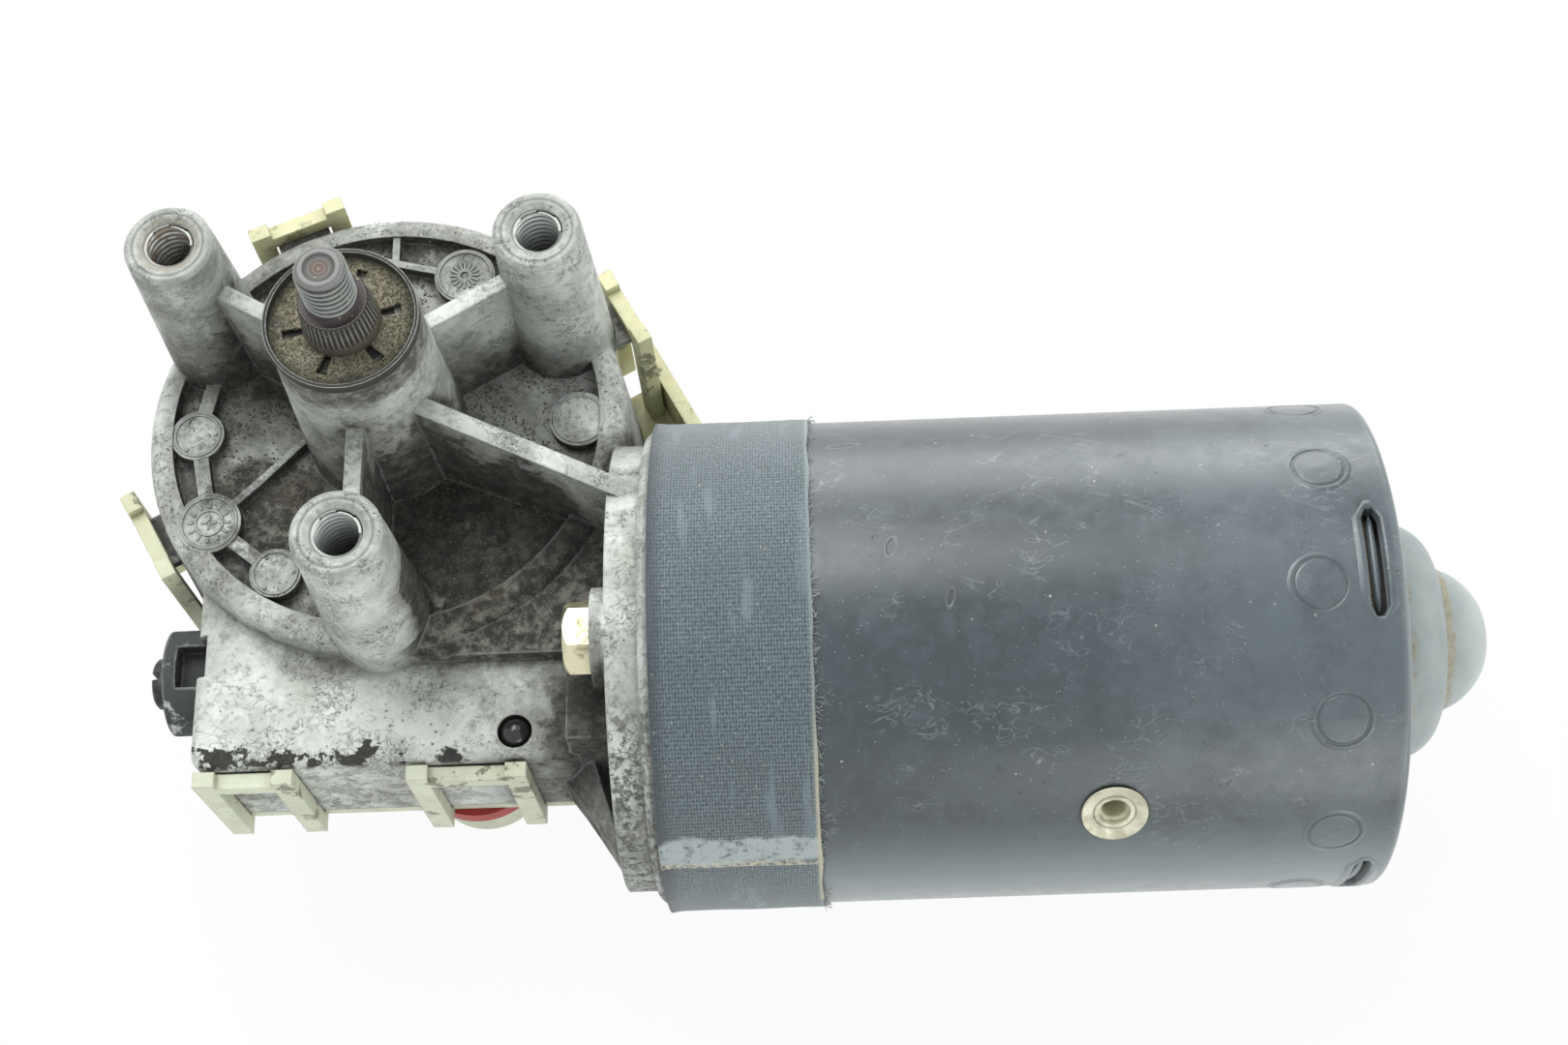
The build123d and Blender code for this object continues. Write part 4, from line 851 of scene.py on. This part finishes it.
def grid_faces(rows, columns, closed, first=0):
    """Quads between the rows of a grid of points; closed joins the last column to the first."""
    faces = []
    for row in range(rows - 1):
        for column in range(columns if closed else columns - 1):
            here, beside = first + row * columns, (column + 1) % columns
            faces.append((here + column, here + beside, here + columns + beside, here + columns + column))
    return faces


def turned_points(profile, columns, ripple):
    """Rows of points round the z axis; ripple(radius, height, angle) changes each radius."""
    points = []
    for radius, height in profile:
        for column in range(columns):
            angle = 2 * math.pi * column / columns
            reach = ripple(radius, height, angle)
            points.append((reach * math.cos(angle), reach * math.sin(angle), height))
    return points


def shape_tree(name, **sizes):
    """Empty geometry tree with an input for each size; a whole number's input takes whole numbers."""
    tree = bpy.data.node_groups.new(name, "GeometryNodeTree")
    tree.interface.new_socket("Geometry", in_out="INPUT", socket_type="NodeSocketGeometry")
    for label, value in sizes.items():
        kind = "NodeSocketInt" if isinstance(value, int) else "NodeSocketFloat"
        socket = tree.interface.new_socket(label.replace("_", " "), in_out="INPUT", socket_type=kind)
        socket.default_value = value
    tree.interface.new_socket("Finish", in_out="INPUT", socket_type="NodeSocketMaterial")
    tree.interface.new_socket("Geometry", in_out="OUTPUT", socket_type="NodeSocketGeometry")
    net = Net(tree)
    return net, net.node("NodeGroupInput")


def close_tree(net, start, geometry):
    """Make instances real, set the finish and send the result out."""
    real = net.shape("RealizeInstances", Geometry=geometry)
    finished = net.shape("SetMaterial", Geometry=real, Material=start["Finish"])
    net.node("NodeGroupOutput").inputs["Geometry"] = finished
    return net.tree


def grow(name, tree, base=None, crease=35, **sizes):
    """Run a geometry tree with the given sizes and keep its result as a plain mesh."""
    source = bpy.data.objects.new(name + "_source", base or bpy.data.meshes.new(name + "_base"))
    bpy.context.collection.objects.link(source)
    shape = source.modifiers.new("shape", "NODES")
    shape.node_group = tree
    for socket in tree.interface.items_tree:
        label = socket.name.replace(" ", "_")
        if socket.in_out == "INPUT" and label in sizes:
            shape[socket.identifier] = sizes[label]
    bpy.context.view_layer.update()
    mesh = bpy.data.meshes.new_from_object(source.evaluated_get(bpy.context.evaluated_depsgraph_get()))
    source.modifiers.remove(shape)
    bpy.data.objects.remove(source)
    mesh.name = name
    return placed(mesh, crease)


def make_thread_tree():
    """Threaded skins on a ring of places: a grid rolled up so that its rows follow the helix."""
    net, start = shape_tree(
        "thread", Crest_Radius=4 * MM, Root_Radius=3.4 * MM, Pitch=thread_pitch, Top=0.0, Length=10 * MM,
        Tip_Radius=4 * MM, Ring_Radius=0.0, Count=1, First_Turn=0.0, Rows=80)
    grid = net.shape("MeshGrid", Size_X=1.0, Size_Y=1.0, Vertices_X=start["Rows"], Vertices_Y=73)
    x, y, z = net.split(net.shape("InputPosition"))
    around = y + 0.5
    travel = (x + 0.5) * (start["Length"] + start["Pitch"])
    height = start["Top"] + (1.0 - around) * start["Pitch"] - travel
    height = net.most(net.least(height, start["Top"]), start["Top"] - start["Length"])
    half = start["Pitch"] * 0.5
    wave = net.ramp(net.math("PINGPONG", travel, half) / half, 0.06, 0.94)
    radius = start["Root Radius"] + (start["Crest Radius"] - start["Root Radius"]) * wave
    radius = net.least(radius, start["Tip Radius"] + (start["Top"] - height))
    rolled = net.polar(radius, around * (2 * math.pi), height)
    skin = net.shape("SetPosition", Geometry=grid, Position=rolled)
    skin = net.shape("MergeByDistance", Geometry=skin, Distance=0.002 * MM)
    turn = start["First Turn"] + net.shape("InputIndex") * (2 * math.pi / start["Count"])
    places = net.shape("SetPosition", Geometry=net.shape("Points", Count=start["Count"]),
                       Position=net.polar(start["Ring Radius"], turn, 0.0))
    return close_tree(net, start, net.shape("InstanceOnPoints", Points=places, Instance=skin))


def make_grit_tree():
    """Crumbs of dirt scattered on a surface, inside a band of heights and a plan radius."""
    net, start = shape_tree(
        "grit", Density=1e6, Seed=1, Smallest=0.06 * MM, Largest=0.2 * MM, Low=-1.0, High=1.0, Reach=0.1,
        Patch_Scale=200.0, Patch_Level=0.45)
    scatter = net.shape("DistributePointsOnFaces", Mesh=start["Geometry"], Density=start["Density"],
                        Seed=start["Seed"])
    where = net.shape("InputPosition")
    x, y, z = net.split(where)
    patch = net.noise(where, start["Patch Scale"], 3.0, 0.6)
    outside = net.most(
        net.math("GREATER_THAN", net.length(x, y), start["Reach"]), net.math("LESS_THAN", z, start["Low"]),
        net.math("GREATER_THAN", z, start["High"]), net.math("LESS_THAN", patch, start["Patch Level"]))
    kept = net.shape("DeleteGeometry", Geometry=scatter, Selection=outside, domain="POINT")
    crumb = net.shape("MeshIcoSphere", Radius=1.0, Subdivisions=1)
    sizes = [net.vector(start[size], start[size], start[size]) for size in ("Smallest", "Largest")]
    size = net.random("FLOAT_VECTOR", 3, *sizes)
    spin = net.random("FLOAT_VECTOR", 5, (0.0, 0.0, 0.0), (6.28, 6.28, 6.28))
    copies = net.shape("InstanceOnPoints", Points=kept, Instance=crumb, Rotation=spin, Scale=size)
    return close_tree(net, start, copies)


def make_lint_tree():
    """Short bent fibres round the edge of the tape, sparse or thick by angle."""
    net, start = shape_tree(
        "lint", Count=500, Radius=40 * MM, Edge=70 * MM, Shortest=0.4 * MM, Longest=1.6 * MM)
    angle = net.random("FLOAT", 11, 0.0, 2 * math.pi)
    thin = net.noise(net.vector(angle, 0.0, 0.0), 2.2, 2.0)
    spot = net.vector(start["Edge"], motor_axis.y + start["Radius"] * net.math("COSINE", angle),
                      motor_axis.z + start["Radius"] * net.math("SINE", angle))
    places = net.shape("SetPosition", Geometry=net.shape("Points", Count=start["Count"]), Position=spot)
    bare = net.math("LESS_THAN", thin, 0.42)
    places = net.shape("DeleteGeometry", Geometry=places, Selection=bare, domain="POINT")
    line = net.shape("CurvePrimitiveBezierSegment", Resolution=5, Start=(-0.3, 0.0, 0.0),
                     Start_Handle=(0.2, 0.0, 0.12), End_Handle=(0.5, 0.25, 0.25), End=(0.8, 0.5, 0.0))
    ring = net.shape("CurvePrimitiveCircle", Resolution=4, Radius=0.028, mode="RADIUS")
    fibre = net.shape("CurveToMesh", Curve=line, Profile_Curve=ring, Fill_Caps=True)
    length = net.random("FLOAT", 17, start["Shortest"], start["Longest"])
    twist = net.random("FLOAT", 19, -1.2, 1.2)
    copies = net.shape("InstanceOnPoints", Points=places, Instance=fibre, Scale=length,
                       Rotation=net.vector(angle, 0.0, 0.0))
    twisted = net.shape("RotateInstances", Instances=copies, Rotation=net.vector(twist, 0.0, twist))
    return close_tree(net, start, twisted)


def make_dial_tree():
    """Raised ring with short ticks inside it, lying flat at one height."""
    net, start = shape_tree("dial", Radius=4 * MM, Wire=0.25 * MM, Ticks=12, Tick_Length=0.8 * MM)
    ring = net.shape("CurvePrimitiveCircle", Resolution=48, Radius=start["Radius"], mode="RADIUS")
    section = net.shape("CurvePrimitiveCircle", Resolution=8, Radius=start["Wire"], mode="RADIUS")
    whole = net.node("GeometryNodeJoinGeometry")
    whole.inputs[0] = net.shape("CurveToMesh", Curve=ring, Profile_Curve=section)
    spots = net.shape("MeshCircle", Vertices=start["Ticks"],
                      Radius=start["Radius"] - start["Tick Length"] * 1.6)
    line = net.shape("CurvePrimitiveLine", Start=net.vector(start["Tick Length"] * -0.5, 0.0, 0.0),
                     End=net.vector(start["Tick Length"] * 0.5, 0.0, 0.0))
    bar = net.shape("CurveToMesh", Curve=line, Profile_Curve=section, Fill_Caps=True)
    x, y, z = net.split(net.shape("InputPosition"))
    facing = net.vector(0.0, 0.0, net.math("ARCTAN2", y, x))
    whole.inputs[0] = net.shape("InstanceOnPoints", Points=spots, Instance=bar, Rotation=facing)
    return close_tree(net, start, whole[0])


# ---- Pieces -------------------------------------------------------------------------------------
def thread_rows(length):
    """Rows of the rolled grid that give eight to a turn of the thread."""
    return int(round((length / thread_pitch + 1) * 8)) + 1


def post_threads(tree):
    """Threads in the three mounting posts."""
    length = 15 * MM
    piece = grow(
        "post_threads", tree, Crest_Radius=post_bore - thread_depth, Root_Radius=post_bore + 0.02 * MM,
        Pitch=thread_pitch, Top=-0.55 * MM, Length=length, Tip_Radius=post_bore + 1 * MM,
        Ring_Radius=post_circle, Count=3, First_Turn=post_angles[0], Rows=thread_rows(length),
        Finish=finishes["thread_alloy"])
    piece.data.flip_normals()
    settle(piece, "housing")


def drive_shaft(tree):
    """Output shaft with its threaded stud, undercut, shoulder and serrated cone."""
    top, low = shaft_high.z, shaft_low.z
    cone_base, cone_top = 3.5 * MM, 10.3 * MM
    wide, narrow = 6.1 * MM, 5.35 * MM
    teeth = 44
    root = stud_radius - thread_depth

    def ripple(radius, height, angle):
        depth = min(max((height - cone_base - 1.3 * MM) / (0.8 * MM), 0.0), 1.0) * 0.26 * MM
        if height > cone_top - 0.02 * MM or radius < narrow - 0.5 * MM:
            depth = 0.0
        return radius - depth * (0.5 + 0.5 * math.cos(teeth * angle)) ** 1.5

    # The foot, the cone, the undercut and the stud, from low to high: a radius and a height each.
    profile = [(0.0002 * MM, low), (5.4 * MM, low), (6.0 * MM, low + 0.6 * MM),
               (6.0 * MM, cone_base - 0.1 * MM)]
    profile += [(wide + (narrow - wide) * share, cone_base + (cone_top - 0.35 * MM - cone_base) * share)
                for share in [step / 22 for step in range(23)]]
    profile += [(narrow - 0.30 * MM, cone_top), (narrow - 0.5 * MM, cone_top + 0.01 * MM)]
    profile += [(radius * MM, cone_top + rise * MM) for radius, rise in (
        (4.5, -0.02), (4.2, 0.05), (3.55, 0.45), (3.4, 0.9), (3.4, 1.4))]
    profile += [(root, cone_top + 1.7 * MM), (root, top - 0.95 * MM), (root, top - 0.2 * MM),
                (root - 0.2 * MM, top)]
    profile += [(radius * MM, top - drop * MM) for radius, drop in (
        (2.45, 0.0), (2.3, 0.10), (1.9, 0.22), (1.0, 0.27), (0.0002, 0.28))]
    columns = teeth * 8
    piece = piece_from("drive_shaft", turned_points(profile, columns, ripple),
                       grid_faces(len(profile), columns, True), "worn_shaft", 50)
    settle(piece, "output", ["output_shaft"])
    length = top - 0.02 * MM - (cone_top + 1.4 * MM)
    stud = grow(
        "stud_thread", tree, Crest_Radius=stud_radius, Root_Radius=root - 0.02 * MM, Pitch=thread_pitch,
        Top=top - 0.02 * MM, Length=length, Tip_Radius=root - 0.1 * MM, Ring_Radius=0.0, Count=1,
        First_Turn=0.0, Rows=thread_rows(length), Finish=finishes["worn_shaft"])
    settle(stud, "output")


def dirt_crumbs(tree):
    """Crumbs on the spring cap, on the floor of the drum and on its ledges; sizes in millimetres."""
    floor, rim = floor_z / MM, rim_z / MM
    for name, node, body, slot, low, high, reach, density, small, large, level in (
            ("cap_grit", "star_lock_cap", "output", "spring_steel", 1.6, 3.5, 10.9, 9e6, 0.05, 0.17, 0.40),
            ("floor_grit", "gear_housing", "housing", "cast_alloy", floor - 1, floor + 1.5, 36, 2.2e6,
             0.06, 0.24, 0.47),
            ("ledge_grit", "gear_housing", "housing", "cast_alloy", rim - 1.5, rim + 0.5, 80, 0.9e6,
             0.05, 0.18, 0.52)):
        base = frame["nodes"][node].data.copy()
        piece = grow(
            name, tree, base, 180, Density=density, Seed=7, Smallest=small * MM, Largest=large * MM,
            Low=low * MM, High=high * MM, Reach=reach * MM, Patch_Scale=170.0, Patch_Level=level,
            Finish=finishes["dirt_crumb"])
        settle(piece, body)


def joint_wrap(lint):
    """Cloth tape wound once round the joint, with its loose end lapped over its start."""
    start_x, end_x = tape_low.x, tape_high.x
    lap, end_turn = math.radians(17), math.radians(160)
    lap_rise = 0.42 * MM
    base = tape_radius - lap_rise
    across, around = 34, 460
    points = []
    for step in range(around + 1):
        turned = step / around * (2 * math.pi + lap)
        angle = end_turn - turned
        lift = lap_rise * (1 - min(max((turned - lap) / math.radians(4), 0.0), 1.0))
        for place in range(across + 1):
            width = place / across
            spot = Vector((width * 25, math.cos(angle) * 40, math.sin(angle) * 40))
            rough = noise.noise(spot * 0.16) * 0.16 + noise.noise(spot * 0.9) * 0.05
            wander = noise.noise(Vector((angle * 5, 3.0 + round(width), 0))) * 0.35 * MM
            fringe = noise.noise(Vector((angle * 60, 7.0, 0))) * 0.12 * MM
            x = start_x + (end_x - start_x) * width + (wander + fringe) * abs(width - 0.5) * 2 * (width > 0.5)
            curl = 0.22 * MM * max(0.0, 1 - width * 14)
            ragged = noise.noise(Vector((width * 30, 1, 1))) * 0.012 if step == 0 else 0.0
            points.append(on_motor(x, base + lift + rough * MM * 0.7 + curl, angle + ragged))
    faces = [tuple(reversed(face)) for face in grid_faces(around + 1, across + 1, False)]
    piece = piece_from("joint_wrap", points, faces, "cloth_tape", 60)
    wall = piece.modifiers.new("wall", "SOLIDIFY")
    wall.thickness = 0.36 * MM
    wall.offset = -1.0
    settle(piece, "housing", ["joint_tape"])
    fringe = grow("tape_fringe", lint, Count=900, Radius=tape_radius - 0.35 * MM, Edge=end_x - 0.1 * MM,
                  Finish=finishes["lint"])
    settle(fringe, "housing")


def drawn_can():
    """The can, its end drawn as pressed steel: a deep rounded shoulder and a dome narrowing to its tip."""
    shoulder_start, shoulder_end, tip, deeper, taper = 158.0 * MM, 166.5 * MM, 178.2 * MM, 2.6 * MM, 0.24
    form = bmesh.new()
    form.from_mesh(frame["nodes"]["pole_housing"].data)
    bmesh.ops.remove_doubles(form, verts=form.verts, dist=0.001 * MM)
    for corner in form.verts:
        x = corner.co.x
        if x > shoulder_end:
            along = (x - shoulder_end) / (tip - shoulder_end)
            corner.co.x = shoulder_end + deeper + along * (tip - shoulder_end - deeper)
            for axis in (1, 2):
                corner.co[axis] -= (corner.co[axis] - motor_axis[axis]) * taper * along
        elif x > shoulder_start:
            corner.co.x += deeper * (x - shoulder_start) / (shoulder_end - shoulder_start)
    mesh = bpy.data.meshes.new("drawn_can")
    form.to_mesh(mesh)
    form.free()
    mesh.materials.append(finishes["can_paint"])
    settle(placed(mesh, 40), "housing", ["pole_housing"])


def moulded_discs():
    """Round marks moulded near the free end of the sleeve: a flat disc inside a groove."""
    profile = [(0.0, 0.14), (3.3, 0.14), (3.62, 0.12), (3.78, 0.02), (3.86, -0.06), (3.98, -0.06),
               (4.08, 0.03), (4.22, 0.13), (4.45, 0.13), (4.75, 0.05), (5.1, -0.08)]
    columns, points, faces = 40, [], []
    for number in range(12):
        angle = math.radians(36.7 + 30 * number)
        x = (144.6 if number % 3 == 2 else 147.2) * MM
        faces += grid_faces(len(profile), columns, True, len(points))
        for radius, rise in profile:
            for column in range(columns):
                turn = 2 * math.pi * column / columns
                ahead, side = radius * MM * math.cos(turn), radius * MM * math.sin(turn)
                points.append(on_motor(x + ahead, sleeve_radius + rise * MM, angle + side / sleeve_radius))
    settle(piece_from("moulded_discs", points, faces, "sleeve_rubber", 60), "housing")


def slot_lips():
    """Rolled lip round each end slot of the sleeve, and the curved lug inside it; in millimetres."""
    slot_x, half_width, round_off = 153.2, 1.4, 0.5
    half_length = sleeve_radius / MM * math.radians(25.4) / 2
    profile = [(-0.05, -1.5), (-0.10, -0.2), (0.05, 0.08), (0.35, 0.22), (0.75, 0.20), (1.15, 0.08),
               (1.6, -0.08)]
    lug = ((-1.0, -1.5), (-0.8, -0.95), (0.0, -0.75), (0.8, -0.95), (1.0, -1.5))
    columns, rows, points, faces = 48, 13, [], []
    for number in range(4):
        middle = math.radians(91.8 + 90 * number)

        def put(aside, along, height):
            points.append(on_motor((slot_x + aside) * MM, sleeve_radius + height * MM,
                                   middle + along * MM / sleeve_radius))

        faces += grid_faces(len(profile), columns, True, len(points))
        for grown, height in profile:
            for column in range(columns):
                turn = 2 * math.pi * (column + 0.5) / columns
                aside, along = math.cos(turn), math.sin(turn)
                longest = max(abs(aside) / half_width, abs(along) / half_length)
                aside, along = aside / longest, along / longest
                # A point of the box, drawn in at the corners and moved out by the width grown so far.
                inner_aside = max(-half_width + round_off, min(half_width - round_off, aside))
                inner_along = max(-half_length + round_off, min(half_length - round_off, along))
                out = Vector((aside - inner_aside, along - inner_along)).normalized() * (round_off + grown)
                put(inner_aside + out.x, inner_along + out.y, height)
        faces += grid_faces(rows, len(lug), False, len(points))
        for row in range(rows):
            share = row / 6 - 1
            wide = 0.62 * math.sqrt(max(0.0, 1 - share * share)) + 0.02
            for across, height in lug:
                put(across * wide, share * (half_length - 0.8), height)
    settle(piece_from("slot_lips", points, faces, "sleeve_rubber", 60), "housing")


def pad_dials(tree):
    """Raised casting marks on the pads, rings and ticks only; sizes in millimetres."""
    for name, x, y, radius, ticks, length, drop in (
            ("date_dial", -28.1, -16.9, 4.5, 12, 0.9, 0.0),
            ("date_dial_core", -28.1, -16.9, 2.2, 4, 0.9, 0.0),
            ("left_dial", -31.2, -1.0, 3.7, 3, 0.4, 0.2), ("front_dial", -16.8, -26.0, 3.6, 3, 0.4, 0.2),
            ("right_dial", 31.9, -0.5, 4.2, 3, 0.4, 0.2), ("rear_dial", 12.2, 27.2, 4.5, 16, 1.8, 0.2)):
        piece = grow(name, tree, Radius=radius * MM, Wire=0.24 * MM, Ticks=ticks, Tick_Length=length * MM,
                     Finish=finishes["cast_alloy"])
        for point in piece.data.vertices:
            point.co += Vector((x * MM, y * MM, rim_z - drop * MM))
        settle(piece, "housing")


threads = make_thread_tree()
post_threads(threads)
drive_shaft(threads)
dirt_crumbs(make_grit_tree())
joint_wrap(make_lint_tree())
drawn_can()
moulded_discs()
slot_lips()
pad_dials(make_dial_tree())


# ---- Stage, light and camera -------------------------------------------------------------------
def seen_directly(net):
    """1 for what the camera, a gloss or a clear surface sees, and 0 for what only lights the object."""
    path = net.node("ShaderNodeLightPath")
    return net.most(path["Is Camera Ray"], path["Is Glossy Ray"], path["Is Transmission Ray"])


def make_floor():
    """Pale floor that reads as white to the camera and to gloss, and keeps the shadow."""
    tone, glow_share, half_size = 0.92, 0.94, 3.0
    material = bpy.data.materials.new("floor_white")
    material.use_nodes = True
    net = Net(material.node_tree)
    net.tree.nodes.remove(net.tree.nodes["Principled BSDF"])
    matt = net.node("ShaderNodeBsdfDiffuse", {"Color": (tone, tone, tone)})[0]
    glow = net.node("ShaderNodeEmission", {"Color": (1, 1, 1), "Strength": 1.0})[0]
    mixed = net.node("ShaderNodeMixShader", {0: seen_directly(net) * glow_share, 1: matt, 2: glow})[0]
    # From below the floor is clear, so that the underside of the object can be looked at.
    below = net.node("ShaderNodeNewGeometry")["Backfacing"]
    clear = net.node("ShaderNodeBsdfTransparent")[0]
    whole = net.node("ShaderNodeMixShader", {0: below, 1: mixed, 2: clear})[0]
    net.found("Material Output").inputs["Surface"] = whole
    level = cad_box[0][2] - 0.2 * MM
    mesh = bpy.data.meshes.new("floor")
    corners = [(half_size * x, half_size * y, level) for x, y in ((-1, -1), (1, -1), (1, 1), (-1, 1))]
    mesh.from_pydata(corners, [], [(0, 1, 2, 3)])
    mesh.materials.append(material)
    floor = bpy.data.objects.new("floor", mesh)
    bpy.context.collection.objects.link(floor)


def make_world():
    world = bpy.data.worlds.new("studio")
    world.use_nodes = True
    net = Net(world.node_tree)
    sky = net.found("Background").inputs
    sky["Color"] = net.blend(seen_directly(net), (0.42, 0.43, 0.43), (1, 1, 1))
    sky["Strength"] = 1.0
    bpy.context.scene.world = world


def make_lamp(name, place, size, power):
    """Large soft lamp that looks at the middle of the object."""
    light = bpy.data.lights.new(name, "AREA")
    light.shape = "SQUARE"
    light.size = size
    light.energy = power
    lamp = bpy.data.objects.new(name, light)
    lamp.location = place
    centre = (Vector(cad_box[0]) + Vector(cad_box[1])) / 2
    lamp.rotation_euler = (centre - Vector(place)).to_track_quat("-Z", "Y").to_euler()
    bpy.context.collection.objects.link(lamp)


def make_camera():
    """The view that the sizes were measured in: its place, its turns and its lens."""
    camera = bpy.data.cameras.new("view")
    camera.lens = 53.374
    camera.sensor_width = 36.0
    camera.clip_start = 0.01
    view = bpy.data.objects.new("view", camera)
    view.location = Vector((72.68, -168.60, 311.09)) * MM
    view.rotation_mode = "ZYX"
    view.rotation_euler = [math.radians(turn) for turn in (23.357, 1.161, -2.089)]
    bpy.context.collection.objects.link(view)
    bpy.context.scene.camera = view


make_camera()
make_floor()
make_world()
make_lamp("key", (-0.25, 0.55, 0.95), 0.8, 10.2)
make_lamp("back", (0.10, 0.95, 0.05), 0.8, 6.5)
make_lamp("side", (1.0, -0.15, 0.30), 0.6, 2.0)
make_lamp("front", (0.50, -0.88, 0.08), 0.6, 2.9)
bpy.context.scene.view_settings.view_transform = "Standard"
